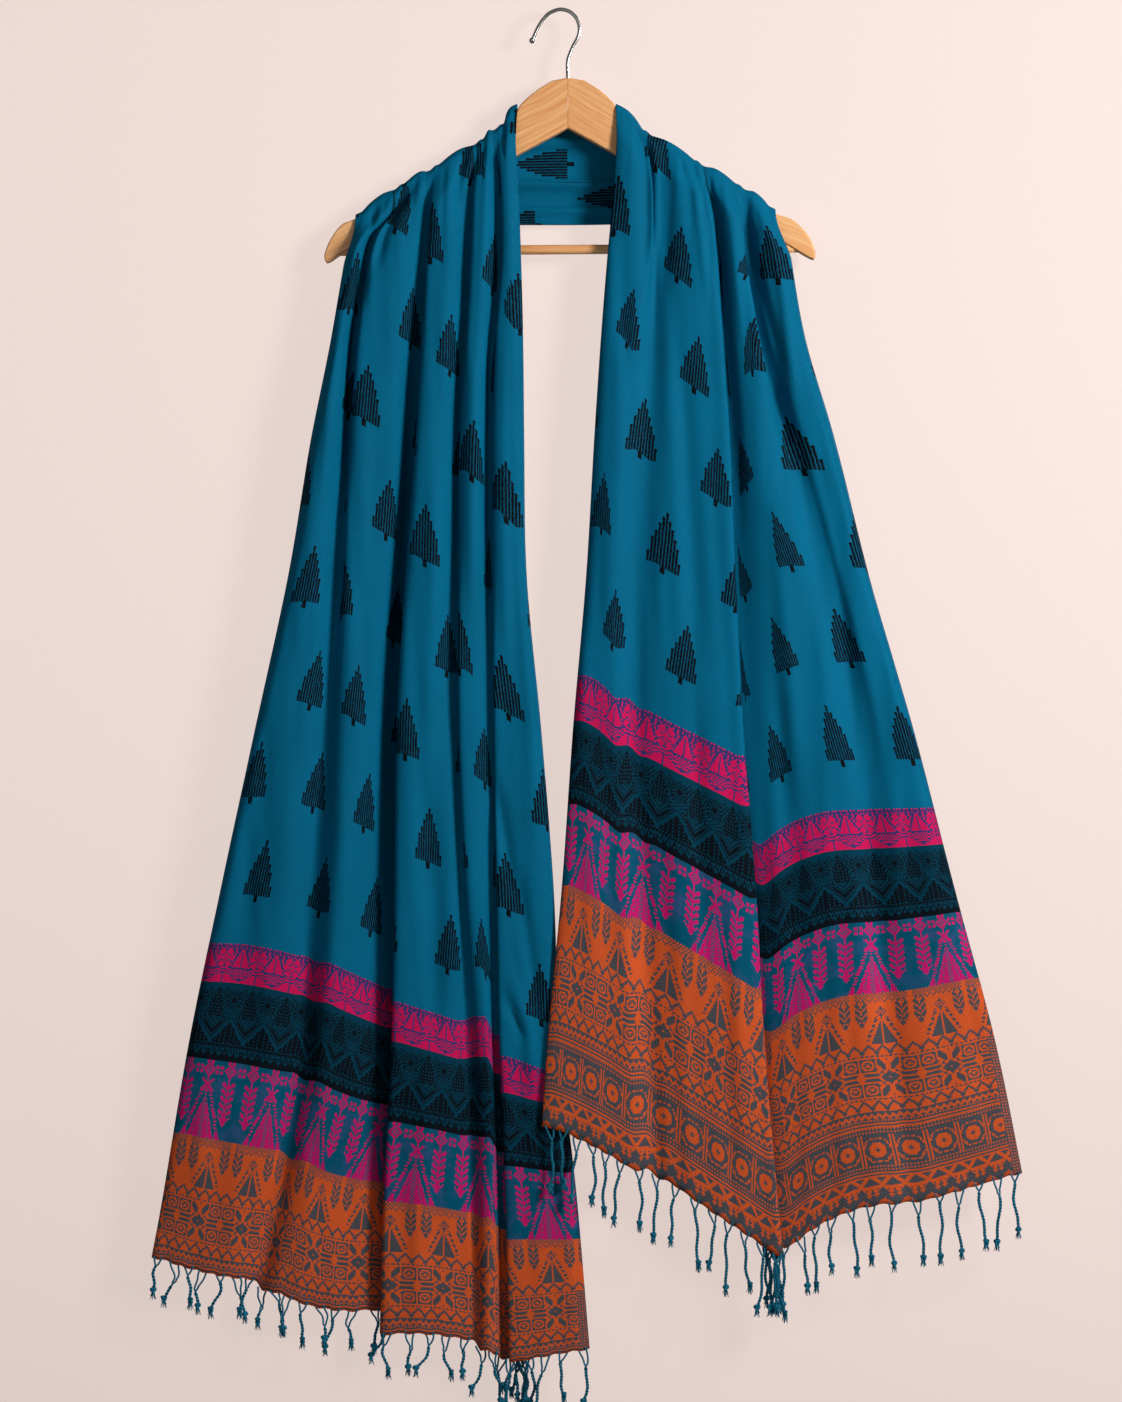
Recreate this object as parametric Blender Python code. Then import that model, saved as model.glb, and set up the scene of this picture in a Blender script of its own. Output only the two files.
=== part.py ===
import bpy
import bmesh
import math
import numpy as np

for old in list(bpy.data.objects):
    bpy.data.objects.remove(old, do_unlink=True)

# All sizes below are in millimetres.
# The origin is the inside top of the hook's bend, where a rail or peg carries the hanger.
# +Z is up and the front of the shawl faces -Y.
MM = 0.001

CLOTH_WIDTH = 600.0
WALL = 2.0
SEAM_GAP = 0.3
WRAP_RADIUS = 6.5
WRAP_FLAT = 1.5
BEHIND = 8.0

WOOD_THICK = 12.0
WOOD_ROUND = 3.0
JOINT_X = 6.2
JOINT_GAP = 0.3
WIRE_RADIUS = 1.7
WIRE_BALL = 2.8
WIRE_SIDES = 10
BAR_RADIUS = 4.25
BAR_SIDES = 14
FIT_GAP = 0.3

TASSELS = 35
STRAND_RADIUS = 1.15
KNOT_RADIUS = 2.0
STRIP_DROP = 4.0
STRIP_WALL = 1.6

# Heights at which every fold row below is stated.
STATIONS = (-115, -160, -215, -290, -380, -500, -640, -780, -920, -1060, -1190)

# How far forward the crests of each fall stand, by height.
FRONT_LEFT = (-11, -14, -20, -26, -30, -32, -32, -30, -26, -22, -20)
FRONT_RIGHT = (-11, -14, -19, -24, -28, -30, -31, -32, -32, -30, -28)

# One row per fold edge, from the inner selvage outwards.
# x: the fold edge by height. cut_in and cut_out: cloth width used up before and after the fold.
# depth, lap and soft: how deep, how far tucked under and how rounded the fold is.
# ridge: x and z on the shoulder. band and hem: heights of the first band and of the hem,
# on the inner and on the outer side of the fold.
LEFT_FOLDS = (
    dict(name="inner",
         x=(-41, -38, -36, -34, -33, -31, -18, -7, -1, 14, 25),
         cut_in=(0,) * 11, cut_out=(0,) * 11,
         depth=(2, 3, 5, 6, 7, 8, 8, 8, 8, 6, 5), lap=(0,) * 11, soft=(0,) * 11,
         ridge=(-39, -83), band=(-945, -945), hem=(-1189, -1189), sag=(-4, -12), inner_lines=2),
    dict(name="first",
         x=(-56, -53, -52, -57, -60, -60, -59, -57, -54, -49, -46),
         cut_in=(17, 16, 18, 25, 29, 30, 44, 54, 58, 70, 78),
         cut_out=(208, 204, 203, 203, 202, 201, 200, 201, 204, 203, 202),
         depth=(4, 6, 10, 14, 14, 12, 12, 12, 12, 12, 12),
         lap=(2, 3, 4, 5, 5, 5, 6, 7, 8, 11, 13), soft=(0,) * 11,
         ridge=(-56, -106), band=(-930, -911), hem=(-1200, -1200), sag=(0, 0), inner_lines=1),
    dict(name="second",
         x=(-73, -77, -79, -83, -89, -90, -90, -86, -79, -75, -74),
         cut_in=(226, 230, 231, 231, 232, 233, 234, 233, 230, 231, 232),
         cut_out=(302, 303, 302, 302, 302, 298, 293, 284, 265, 246, 244),
         depth=(4, 7, 11, 16, 19, 21, 20, 15, 10, 8, 8),
         lap=(2, 2, 3, 3, 3, 3, 3, 1, 0, 0, 0),
         soft=(0, 0, 0, 0, 0, 0, 0, 0.3, 0.7, 0.6, 0.5),
         ridge=(-74, -117), band=(-895, -899), hem=(-1191, -1182), sag=(0, 0), inner_lines=2),
    dict(name="third",
         x=(-113, -115, -118, -122, -128, -137, -145, -147, -150, -157, -161),
         cut_in=(344, 343, 344, 344, 344, 348, 352, 350, 343, 334, 336),
         cut_out=(456, 451, 443, 441, 440, 438, 427, 404, 376, 342, 344),
         depth=(4, 7, 11, 17, 22, 26, 28, 27, 22, 17, 14),
         lap=(2, 3, 4, 4, 5, 6, 7, 7, 6, 4, 3), soft=(0,) * 11,
         ridge=(-114, -141), band=(-882, -872), hem=(-1172, -1155), sag=(0, 3), inner_lines=2),
    dict(name="fourth",
         x=(-134, -145, -167, -179, -186, -194, -205, -217, -228, -252, -280),
         cut_in=(479, 483, 495, 501, 502, 500, 491, 485, 465, 446, 466),
         cut_out=(565, 561, 574, 575, 562, 547, 528, 507, 490, 489, 492),
         depth=(4, 7, 11, 17, 18, 15, 12, 11, 11, 10, 9),
         lap=(2, 3, 5, 5, 4, 2, 0, 0, 0, 0, 0),
         soft=(0, 0, 0, 0, 0, 0.3, 0.7, 1, 1, 1, 1),
         ridge=(-145, -157), band=(-847, -841), hem=(-1139, -1128), sag=(0, -6), inner_lines=3),
    dict(name="outer",
         x=(-173, -180, -189, -201, -220, -241, -269, -300, -329, -353, -376),
         cut_in=(600,) * 11, cut_out=(600,) * 11,
         depth=(2, 4, 8, 12, 14, 16, 17, 16, 13, 10, 8), lap=(0,) * 11, soft=(0,) * 11,
         ridge=(-183, -182), band=(-830, -830), hem=(-1111, -1111), sag=(3, -2), inner_lines=3),
)

RIGHT_FOLDS = (
    dict(name="inner",
         x=(50, 47, 42, 36, 30, 23, 11, 1, -12, -21, -32),
         cut_in=(0,) * 11, cut_out=(0,) * 11,
         depth=(2, 3, 4, 5, 6, 7, 6, 3, 2, 2, 2), lap=(0,) * 11, soft=(0,) * 11,
         ridge=(49, -83), band=(-593, -593), hem=(-991, -991), sag=(0, 0), inner_lines=3),
    dict(name="first",
         x=(78, 81, 82, 83, 83, 79, 75, 82, 86, 90, 92),
         cut_in=(29, 36, 43, 50, 56, 60, 72, 93, 110, 124, 139),
         cut_out=(35, 42, 47, 56, 64, 70, 84, 103, 118, 132, 147),
         depth=(4, 6, 10, 12, 12, 14, 16, 12, 10, 8, 7), lap=(0,) * 11,
         soft=(0.3, 0.3, 0.5, 1, 1, 1, 0.9, 1, 1, 1, 1),
         ridge=(77, -112), band=(-613, -624), hem=(-1030, -1042), sag=(3, 3), inner_lines=3),
    dict(name="pleat",
         x=(116, 131, 138, 143, 149, 154, 161, 172, 180, 192, 205),
         cut_in=(76, 95, 107, 120, 135, 150, 178, 205, 224, 247, 270),
         cut_out=(430, 440, 465, 498, 493, 464, 423, 403, 402, 394, 388),
         depth=(4, 7, 10, 11, 13, 12, 12, 14, 15, 13, 11),
         lap=(2, 3, 5, 5, 6, 6, 7, 8, 9, 12, 14), soft=(0,) * 11,
         ridge=(124, -137), band=(-664, -743), hem=(-1106, -1101), sag=(0, 0), inner_lines=3),
    dict(name="third",
         x=(153, 162, 174, 197, 217, 238, 263, 276, 292, 305, 317),
         cut_in=(465, 473, 503, 555, 566, 554, 534, 508, 510, 496, 489),
         cut_out=(567, 567, 566, 577, 571, 561, 546, 512, 517, 499, 491),
         depth=(4, 7, 11, 16, 18, 16, 14, 9, 6, 4, 3),
         lap=(2, 3, 4, 4, 2, 0, 0, 0, 0, 0, 0),
         soft=(0, 0, 0, 0, 0.5, 1, 1, 1, 1, 1, 1),
         ridge=(161, -158), band=(-712, -711), hem=(-1061, -1059), sag=(8, 9), inner_lines=3),
    dict(name="outer",
         x=(182, 190, 201, 216, 242, 271, 310, 346, 382, 410, 434),
         cut_in=(597,) * 11, cut_out=(597,) * 11,
         depth=(2, 4, 8, 12, 15, 17, 19, 20, 19, 17, 15), lap=(0,) * 11, soft=(0,) * 11,
         ridge=(191, -177), band=(-710, -710), hem=(-1035, -1035), sag=(0, 0), inner_lines=3),
)

# Offsets outwards from a fold edge, and share of the fold depth, for the seven lines of a fold.
SHARP_OFFSET = (-5.0, -1.2, 0.0, -1.2, 0.0, 0.0, 6.0)
SHARP_LAP = (0.0, 0.0, 0.0, -0.35, -1.0, -0.55, 0.0)
SHARP_SHIFT = (0.0, 0.0, 0.0, 0.0, -0.6, 1.4, 0.0)
SHARP_DEEP = (0.0, 0.05, 0.22, 0.42, 0.66, 1.0, 0.82)
SOFT_OFFSET = (-17.0, -11.0, -6.5, -2.5, 1.5, 6.0, 13.0)
SOFT_DEEP = (0.03, 0.26, 0.58, 0.86, 0.99, 0.96, 0.66)
RIDGE_OFFSET = (-5.0, -3.0, -1.2, 0.4, 2.0, 3.6, 5.8)
CUT_SHARE = (0.0, 0.0, 0.0, 0.14, 0.42, 0.76, 1.0)

LEFT_SIDE = -1.0
RIGHT_SIDE = 1.0


def ease(t):
    t = np.clip(t, 0.0, 1.0)
    return t * t * (3.0 - 2.0 * t)


def by_height(row, z):
    """Smooth value of a fold row at the heights z."""
    zs = -np.asarray(STATIONS, float)
    v = np.asarray(row, float)
    q = -np.asarray(z, float)
    step = np.diff(zs)
    slope = np.diff(v) / step
    tangent = np.empty(len(v))
    tangent[0], tangent[-1] = slope[0], slope[-1]
    tangent[1:-1] = (slope[:-1] * step[1:] + slope[1:] * step[:-1]) / (step[1:] + step[:-1])
    k = np.clip(np.searchsorted(zs, q) - 1, 0, len(step) - 1)
    t = np.clip((q - zs[k]) / step[k], 0.0, 1.0)
    h00 = 2 * t ** 3 - 3 * t ** 2 + 1
    h10 = t ** 3 - 2 * t ** 2 + t
    h01 = -2 * t ** 3 + 3 * t ** 2
    h11 = t ** 3 - t ** 2
    inside = h00 * v[k] + h10 * step[k] * tangent[k] + h01 * v[k + 1] + h11 * step[k] * tangent[k + 1]
    beyond = np.where(q > zs[-1], (q - zs[-1]) * tangent[-1], 0.0)
    return inside + beyond


def fall_lines(folds, side, front):
    """Every line that runs down one fall, as (x, y, cut) functions of height with its three heights."""
    lines = []

    def add(x_of, y_of, cut_of, ridge, band, hem):
        lines.append(dict(x=x_of, y=y_of, cut=cut_of, ridge=ridge, band=band, hem=hem))

    def front_at(z):
        return by_height(front, z)

    first = folds[0]
    for offset, share in ((0.0, 1.0), (2.5, 0.45), (7.0, 0.08)):
        add(lambda z, o=offset: by_height(first["x"], z) + side * o,
            lambda z, s=share: front_at(z) + s * by_height(first["depth"], z),
            lambda z, o=offset: np.full(np.shape(z), o),
            (first["ridge"][0] + side * offset * 0.8, first["ridge"][1] - offset * 0.4),
            first["band"][1], first["hem"][1])

    for index in range(1, len(folds)):
        before, fold = folds[index - 1], folds[index]
        opening = index == 1
        closing = index == len(folds) - 1
        lead = 7.0 if opening else 6.0
        trail = 7.0 if closing else 5.0
        count = fold["inner_lines"]
        for step in range(1, count + 1):
            t = step / (count + 1.0)

            def x_of(z, t=t, b=before, f=fold, lead=lead, trail=trail, opening=opening):
                soft = 0.0 if opening else by_height(b["soft"], z)
                start = by_height(b["x"], z) + side * (lead + 7.0 * soft)
                soft_end = by_height(f["soft"], z)
                end = by_height(f["x"], z) - side * (trail + 12.0 * soft_end)
                return start + (end - start) * t

            def y_of(z, t=t, b=before, f=fold, opening=opening, closing=closing):
                share = 0.08 if opening else 0.78
                start = share * by_height(b["depth"], z)
                end = 0.1 * by_height(f["depth"], z) if closing else 0.0
                return front_at(z) + start * (1.0 - t) ** 1.7 + end * t ** 2

            def cut_of(z, t=t, b=before, f=fold, opening=opening, closing=closing):
                start = by_height(b["cut_out"], z) + (7.0 if opening else 0.0)
                end = by_height(f["cut_in"], z) - (7.0 if closing else 5.0)
                return start + (end - start) * t

            x0, z0 = before["ridge"]
            x1, z1 = fold["ridge"]
            x0 = x0 + side * (6.0 if opening else 5.8)
            x1 = x1 - side * 5.0
            bump = 2.6 * math.sin(math.pi * t)
            arch = 4.0 * t * (1.0 - t)
            add(x_of, y_of, cut_of,
                (x0 + (x1 - x0) * t, z0 + (z1 - z0) * (0.1 + 0.8 * t) + bump),
                before["band"][1] + (fold["band"][0] - before["band"][1]) * t + fold["sag"][0] * arch,
                before["hem"][1] + (fold["hem"][0] - before["hem"][1]) * t + fold["sag"][1] * arch)
        if closing:
            for offset, share in ((7.0, 0.12), (2.5, 0.5), (0.0, 1.0)):
                add(lambda z, o=offset, f=fold: by_height(f["x"], z) - side * o,
                    lambda z, s=share, f=fold: front_at(z) + s * by_height(f["depth"], z),
                    lambda z, o=offset, f=fold: by_height(f["cut_in"], z) - o,
                    (fold["ridge"][0] - side * offset * 0.8, fold["ridge"][1] + offset * 0.4),
                    fold["band"][0], fold["hem"][0])
            continue
        for line in range(7):

            def x_of(z, k=line, f=fold):
                soft = by_height(f["soft"], z)
                lap = by_height(f["lap"], z)
                sharp = SHARP_OFFSET[k] + SHARP_LAP[k] * lap + SHARP_SHIFT[k]
                return by_height(f["x"], z) + side * (sharp * (1 - soft) + SOFT_OFFSET[k] * soft)

            def y_of(z, k=line, f=fold):
                soft = by_height(f["soft"], z)
                share = SHARP_DEEP[k] * (1 - soft) + SOFT_DEEP[k] * soft
                return front_at(z) + share * by_height(f["depth"], z)

            def cut_of(z, k=line, f=fold):
                soft = by_height(f["soft"], z)
                edge_in = by_height(f["cut_in"], z)
                edge_out = by_height(f["cut_out"], z)
                sharp = edge_in + (edge_out - edge_in) * CUT_SHARE[k]
                sharp = sharp + min(0.0, SHARP_OFFSET[k]) * (1.0 if k < 2 else 0.0)
                spread = edge_in - 5.0 + (edge_out - edge_in + 11.0) * (k / 6.0)
                return sharp * (1 - soft) + spread * soft

            t = line / 6.0
            x0, z0 = fold["ridge"]
            hidden = (0.0, 0.6, 0.5, -0.3, -0.8, -0.8, -0.2)[line]
            add(x_of, y_of, cut_of,
                (x0 + side * RIDGE_OFFSET[line], z0 - RIDGE_OFFSET[line] * 0.55 + hidden),
                fold["band"][0] + (fold["band"][1] - fold["band"][0]) * ease(max(0.0, (line - 2) / 4.0)),
                fold["hem"][0] + (fold["hem"][1] - fold["hem"][0]) * ease(max(0.0, (line - 2) / 4.0)))
    return lines


def fall_points(lines, rows, drop=0.0):
    """Points of a fall. A row runs 0 to 1 over the wood, 1 to 2 to the first band, 2 to 3 to the hem."""
    rows = np.asarray(rows, float)
    points = np.zeros((len(rows), len(lines), 3))
    for j, line in enumerate(lines):
        ridge_x, ridge_z = line["ridge"]
        angle = np.clip(rows, 0, 1) * math.pi / 2
        z = ridge_z - WRAP_RADIUS * (1 - np.cos(angle))
        wrapped = WRAP_FLAT * np.clip(rows, 0, 1) + WRAP_RADIUS * np.sin(angle)
        z = z + (line["band"] - ridge_z + WRAP_RADIUS) * np.clip(rows - 1, 0, 1)
        z = z + (line["hem"] - line["band"]) * np.clip(rows - 2, 0, 1) - drop
        fallen = ridge_z - z
        x = ridge_x + (line["x"](z) - ridge_x) * ease(fallen / 48.0)
        y = line["y"](z)
        limit = np.interp(-z, (222.0, 330.0), (-BEHIND, 8.0))
        y = np.minimum(y, limit)
        y = -wrapped + (y + BEHIND) * ease((fallen - WRAP_RADIUS) / 62.0)
        points[:, j, 0] = x
        points[:, j, 1] = y - SEAM_GAP / 2
        points[:, j, 2] = z
    return points


def normals_of(points):
    across = np.gradient(points, axis=1)
    along = np.gradient(points, axis=0)
    n = np.cross(along, across)
    n /= np.maximum(np.linalg.norm(n, axis=2, keepdims=True), 1e-9)
    return n


def shell(name, points, wall, flip, seam_rows=(), seam_cols=()):
    """A closed wall of even thickness around a grid of points. Seam edges are cut square to Y."""
    n = normals_of(points) * (-1.0 if flip else 1.0)
    for row in seam_rows:
        n[row, :, 1] = 0.0
        n[row] /= np.linalg.norm(n[row], axis=1, keepdims=True)
    for col in seam_cols:
        n[:, col, 1] = 0.0
        n[:, col] /= np.linalg.norm(n[:, col], axis=1, keepdims=True)
    outside = points + n * wall / 2
    inside = points - n * wall / 2
    rows, cols = points.shape[:2]
    verts = [tuple(p * MM) for p in outside.reshape(-1, 3)] + [tuple(p * MM) for p in inside.reshape(-1, 3)]
    total = rows * cols
    faces = []

    def at(i, j, back=False):
        return i * cols + j + (total if back else 0)

    for i in range(rows - 1):
        for j in range(cols - 1):
            faces.append((at(i, j), at(i + 1, j), at(i + 1, j + 1), at(i, j + 1)))
            faces.append((at(i, j, True), at(i, j + 1, True), at(i + 1, j + 1, True), at(i + 1, j, True)))
    for j in range(cols - 1):
        faces.append((at(0, j), at(0, j + 1), at(0, j + 1, True), at(0, j, True)))
        last = rows - 1
        faces.append((at(last, j), at(last, j, True), at(last, j + 1, True), at(last, j + 1)))
    for i in range(rows - 1):
        faces.append((at(i, 0), at(i, 0, True), at(i + 1, 0, True), at(i + 1, 0)))
        edge = cols - 1
        faces.append((at(i, edge), at(i + 1, edge), at(i + 1, edge, True), at(i, edge, True)))
    return build(name, verts, faces)


def build(name, verts, faces):
    mesh = bpy.data.meshes.new(name)
    mesh.from_pydata(verts, [], faces)
    mesh.validate()
    work = bmesh.new()
    work.from_mesh(mesh)
    bmesh.ops.recalc_face_normals(work, faces=work.faces)
    work.to_mesh(mesh)
    work.free()
    item = bpy.data.objects.new(name, mesh)
    bpy.context.scene.collection.objects.link(item)
    return item


def colour(item, rgb, rough, metal=0.0):
    material = bpy.data.materials.new(item.name)
    material.use_nodes = True
    shader = material.node_tree.nodes["Principled BSDF"]
    shader.inputs["Base Color"].default_value = (rgb[0], rgb[1], rgb[2], 1.0)
    shader.inputs["Roughness"].default_value = rough
    shader.inputs["Metallic"].default_value = metal
    item.data.materials.clear()
    item.data.materials.append(material)


def smooth_shade(item):
    for face in item.data.polygons:
        face.use_smooth = True


def tube_mesh(centres, radii, sides, turn=0.0):
    """Vertices and faces of a closed tube along the centres, in millimetres."""
    c = np.asarray(centres, float)
    tangent = np.gradient(c, axis=0)
    tangent /= np.linalg.norm(tangent, axis=1, keepdims=True)
    side_dir = np.zeros_like(c)
    up = np.array((0.0, 1.0, 0.0))
    if abs(tangent[0] @ up) > 0.9:
        up = np.array((1.0, 0.0, 0.0))
    for i, t in enumerate(tangent):
        v = up - t * (up @ t)
        v /= np.linalg.norm(v)
        side_dir[i] = v
        up = v
    other = np.cross(tangent, side_dir)
    verts, faces = [], []
    for i in range(len(c)):
        for k in range(sides):
            a = turn + 2 * math.pi * k / sides
            verts.append(c[i] + radii[i] * (math.cos(a) * side_dir[i] + math.sin(a) * other[i]))
    for i in range(len(c) - 1):
        for k in range(sides):
            m = (k + 1) % sides
            faces.append((i * sides + k, i * sides + m, (i + 1) * sides + m, (i + 1) * sides + k))
    faces.append(tuple(range(sides - 1, -1, -1)))
    end = (len(c) - 1) * sides
    faces.append(tuple(end + k for k in range(sides)))
    return verts, faces


def curve_through(points, per_span):
    """Dense points on a smooth curve through the given ones."""
    p = np.asarray(points, float)
    p = np.vstack([2 * p[0] - p[1], p, 2 * p[-1] - p[-2]])
    out = []
    for i in range(1, len(p) - 2):
        for k in range(per_span):
            t = k / per_span
            out.append(0.5 * (2 * p[i] + (p[i + 1] - p[i - 1]) * t
                              + (2 * p[i - 1] - 5 * p[i] + 4 * p[i + 1] - p[i + 2]) * t * t
                              + (3 * p[i] - p[i - 1] - 3 * p[i + 1] + p[i + 2]) * t ** 3))
    out.append(p[-2])
    return np.array(out)


# Hook: x and z of the wire's centre line, from inside the wood to the ball end.
HOOK_PATH = ((6.2, -76), (6.2, -60), (6.2, -44), (10, -33), (15.5, -22), (16.5, -15),
             (14, -6.5), (8, -0.5), (-0.5, 1.7), (-10, -1.5), (-16, -7.5), (-21, -15.5), (-24.5, -23.5))
SHAFT_FOOT = -76.0

hook_line = curve_through([(x, 0.0, z) for x, z in HOOK_PATH], 3)
hook_radii = [WIRE_RADIUS] * len(hook_line)
heading = hook_line[-1] - hook_line[-2]
heading /= np.linalg.norm(heading)
BALL_ANGLES = (40, 70, 100, 130, 158)
ball_steps = [hook_line[-1] + heading * (WIRE_BALL * (1 - math.cos(math.radians(s)))) for s in BALL_ANGLES]
hook_line = np.vstack([hook_line, ball_steps])
hook_radii = hook_radii + [WIRE_BALL * math.sin(math.radians(s)) for s in BALL_ANGLES]
hook_verts, hook_faces = tube_mesh(hook_line, hook_radii, WIRE_SIDES)
hook = build("hook", [tuple(np.asarray(v) * MM) for v in hook_verts], hook_faces)
smooth_shade(hook)
colour(hook, (0.62, 0.62, 0.63), 0.25, 1.0)

# Trouser bar: centre line ends, left and right.
BAR_LEFT = (-198.0, -214.2)
BAR_RIGHT = (211.5, -211.1)
bar_verts, bar_faces = tube_mesh([(BAR_LEFT[0], 0, BAR_LEFT[1]), (0, 0, -212.7), (BAR_RIGHT[0], 0, BAR_RIGHT[1])],
                                 [BAR_RADIUS] * 3, BAR_SIDES)
bar = build("trouser_bar", [tuple(np.asarray(v) * MM) for v in bar_verts], bar_faces)
smooth_shade(bar)
colour(bar, (0.78, 0.47, 0.22), 0.4)

# Outline of each wooden arm in x and z, from the top of the joint round the tip to the inner corner below.
ARM_LEFT = ((-8, -62.6), (-22, -71.5), (-36, -84), (-43, -97), (-52, -112), (-90, -133), (-138, -161.5),
            (-184, -186), (-195, -190.5), (-202, -198.5), (-208, -209), (-211, -219.5), (-209.5, -224.5),
            (-206.5, -224), (-190, -213), (-39, -129))
ARM_RIGHT = ((21, -62.6), (35, -71.5), (47.5, -83.5), (54, -98), (63, -109.5), (76, -118.5), (111, -138.5),
             (148, -160.5), (193, -182), (198, -183.3), (206, -186.5), (216, -195), (223, -205), (227, -216), (226, -221.5),
             (223, -221), (200, -208), (48, -128))
JOINT_TOP = -60.0
JOINT_BELOW = -105.0


def wooden_arm(name, outline, joint_x):
    ring = [(joint_x, JOINT_TOP)] + list(outline) + [(joint_x, JOINT_BELOW)]
    count = len(ring)
    half = WOOD_THICK / 2
    verts = [(x * MM, -half * MM, z * MM) for x, z in ring] + [(x * MM, half * MM, z * MM) for x, z in ring]
    faces = [tuple(range(count)), tuple(range(2 * count - 1, count - 1, -1))]
    for k in range(count):
        m = (k + 1) % count
        faces.append((k, k + count, m + count, m))
    arm = build(name, verts, faces)
    weight = arm.data.attributes.new("bevel_weight_edge", "FLOAT", "EDGE")
    joint_verts = {0, count - 1, count, 2 * count - 1}
    for edge in arm.data.edges:
        a, b = edge.vertices
        same_face = (a < count) == (b < count)
        on_joint = a in joint_verts and b in joint_verts
        weight.data[edge.index].value = 1.0 if same_face and not on_joint else 0.0
    rounding = arm.modifiers.new("rounding", "BEVEL")
    rounding.limit_method = "WEIGHT"
    rounding.width = WOOD_ROUND * MM
    rounding.segments = 2
    return arm


def cutter(name, start, end, radius):
    verts, faces = tube_mesh([start, end], [radius, radius], 16)
    item = build(name, [tuple(np.asarray(v) * MM) for v in verts], faces)
    item.hide_render = True
    item.display_type = "WIRE"
    return item


def cut(target, tool):
    difference = target.modifiers.new("cut", "BOOLEAN")
    difference.operation = "DIFFERENCE"
    difference.solver = "EXACT"
    difference.object = tool


shaft_hole = cutter("shaft_hole", (JOINT_X, 0, SHAFT_FOOT - 1.5), (JOINT_X, 0, -50), WIRE_RADIUS + FIT_GAP)
bar_slope = (BAR_RIGHT[1] - BAR_LEFT[1]) / (BAR_RIGHT[0] - BAR_LEFT[0])
left_seat = cutter("left_seat", (BAR_LEFT[0] - FIT_GAP, 0, BAR_LEFT[1]),
                   (BAR_LEFT[0] + 40, 0, BAR_LEFT[1] + 40 * bar_slope), BAR_RADIUS + FIT_GAP)
right_seat = cutter("right_seat", (BAR_RIGHT[0] - 40, 0, BAR_RIGHT[1] - 40 * bar_slope),
                    (BAR_RIGHT[0] + FIT_GAP, 0, BAR_RIGHT[1]), BAR_RADIUS + FIT_GAP)

arm_left = wooden_arm("arm_left", ARM_LEFT, JOINT_X - JOINT_GAP / 2)
cut(arm_left, shaft_hole)
cut(arm_left, left_seat)
colour(arm_left, (0.78, 0.47, 0.22), 0.4)
arm_right = wooden_arm("arm_right", ARM_RIGHT, JOINT_X + JOINT_GAP / 2)
cut(arm_right, shaft_hole)
cut(arm_right, right_seat)
colour(arm_right, (0.78, 0.47, 0.22), 0.4)

# Rows down each fall.
FALL_ROWS = (0, 0.35, 0.7, 1.0, 1.03, 1.07, 1.12, 1.18, 1.25, 1.33, 1.42, 1.52, 1.62, 1.72, 1.82, 1.91,
             2.0, 2.12, 2.36, 2.6, 2.8, 3.0)

left_lines = fall_lines(LEFT_FOLDS, LEFT_SIDE, FRONT_LEFT)
right_lines = fall_lines(RIGHT_FOLDS, RIGHT_SIDE, FRONT_RIGHT)
TEAL = (0.0, 0.135, 0.25)

front_left = shell("front_left", fall_points(left_lines, FALL_ROWS), WALL, False, seam_rows=(0,))
front_right = shell("front_right", fall_points(right_lines, FALL_ROWS), WALL, True, seam_rows=(0,))

# The stretch behind the hanger: lines run from the left ridge to the right ridge.
BACK_COUNT = 22
BACK_MIDDLE_X = 7.0
# Share of the width from the neck selvage down, height at the middle and depth there.
BACK_ROWS = ((0.0, -86, 9.5), (0.08, -93, 12), (0.17, -106, 16), (0.27, -114, 11), (0.36, -122, 15.5),
             (0.47, -136, 17), (0.57, -147, 15), (0.63, -151, 11), (0.72, -160, 16), (0.82, -169, 16.5),
             (0.88, -174, 12.5), (0.95, -181, 15), (1.0, -187.5, 12.5))


def ridge_at(lines, share):
    """Ridge point at a share of the way along the shoulder, from the neck outwards."""
    ridge = np.array([line["ridge"] for line in lines])
    length = np.concatenate([[0], np.cumsum(np.hypot(*np.diff(ridge, axis=0).T))])
    s = share * length[-1]
    return np.array((np.interp(s, length, ridge[:, 0]), np.interp(s, length, ridge[:, 1])))


def back_points(shares, steps):
    rows = np.array(BACK_ROWS)
    out = np.zeros((len(shares), len(steps), 3))
    for i, share in enumerate(shares):
        middle_z = np.interp(share, rows[:, 0], rows[:, 1])
        middle_y = np.interp(share, rows[:, 0], rows[:, 2])
        left = ridge_at(left_lines, share)
        right = ridge_at(right_lines, share)
        for j, s in enumerate(steps):
            end = left if s < 0 else right
            away = 1.0 - abs(s)
            if away < 0.1:
                a = away / 0.1
                angle = a * math.pi / 2
                x = end[0]
                y = SEAM_GAP / 2 + WRAP_FLAT * a + WRAP_RADIUS * math.sin(angle)
                z = end[1] - WRAP_RADIUS * (1 - math.cos(angle))
            else:
                t = (away - 0.1) / 0.9
                x = end[0] + (BACK_MIDDLE_X - end[0]) * t
                flow = ease(t ** 0.9)
                y = SEAM_GAP / 2 + BEHIND + (middle_y - BEHIND) * ease(t * 1.25)
                z = end[1] - WRAP_RADIUS + (middle_z - end[1] + WRAP_RADIUS) * flow
            out[i, j] = (x, y, z)
    return out


back_shares = np.linspace(0, 1, BACK_COUNT)
back_steps = (-1, -0.965, -0.93, -0.9, -0.8, -0.65, -0.45, -0.22, 0,
              0.22, 0.45, 0.65, 0.8, 0.9, 0.93, 0.965, 1)
back_neck = shell("back_neck", back_points(back_shares, back_steps), WALL, False, seam_cols=(0, -1))

for cloth in (front_left, front_right, back_neck):
    smooth_shade(cloth)
    colour(cloth, TEAL, 0.75)


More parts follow.
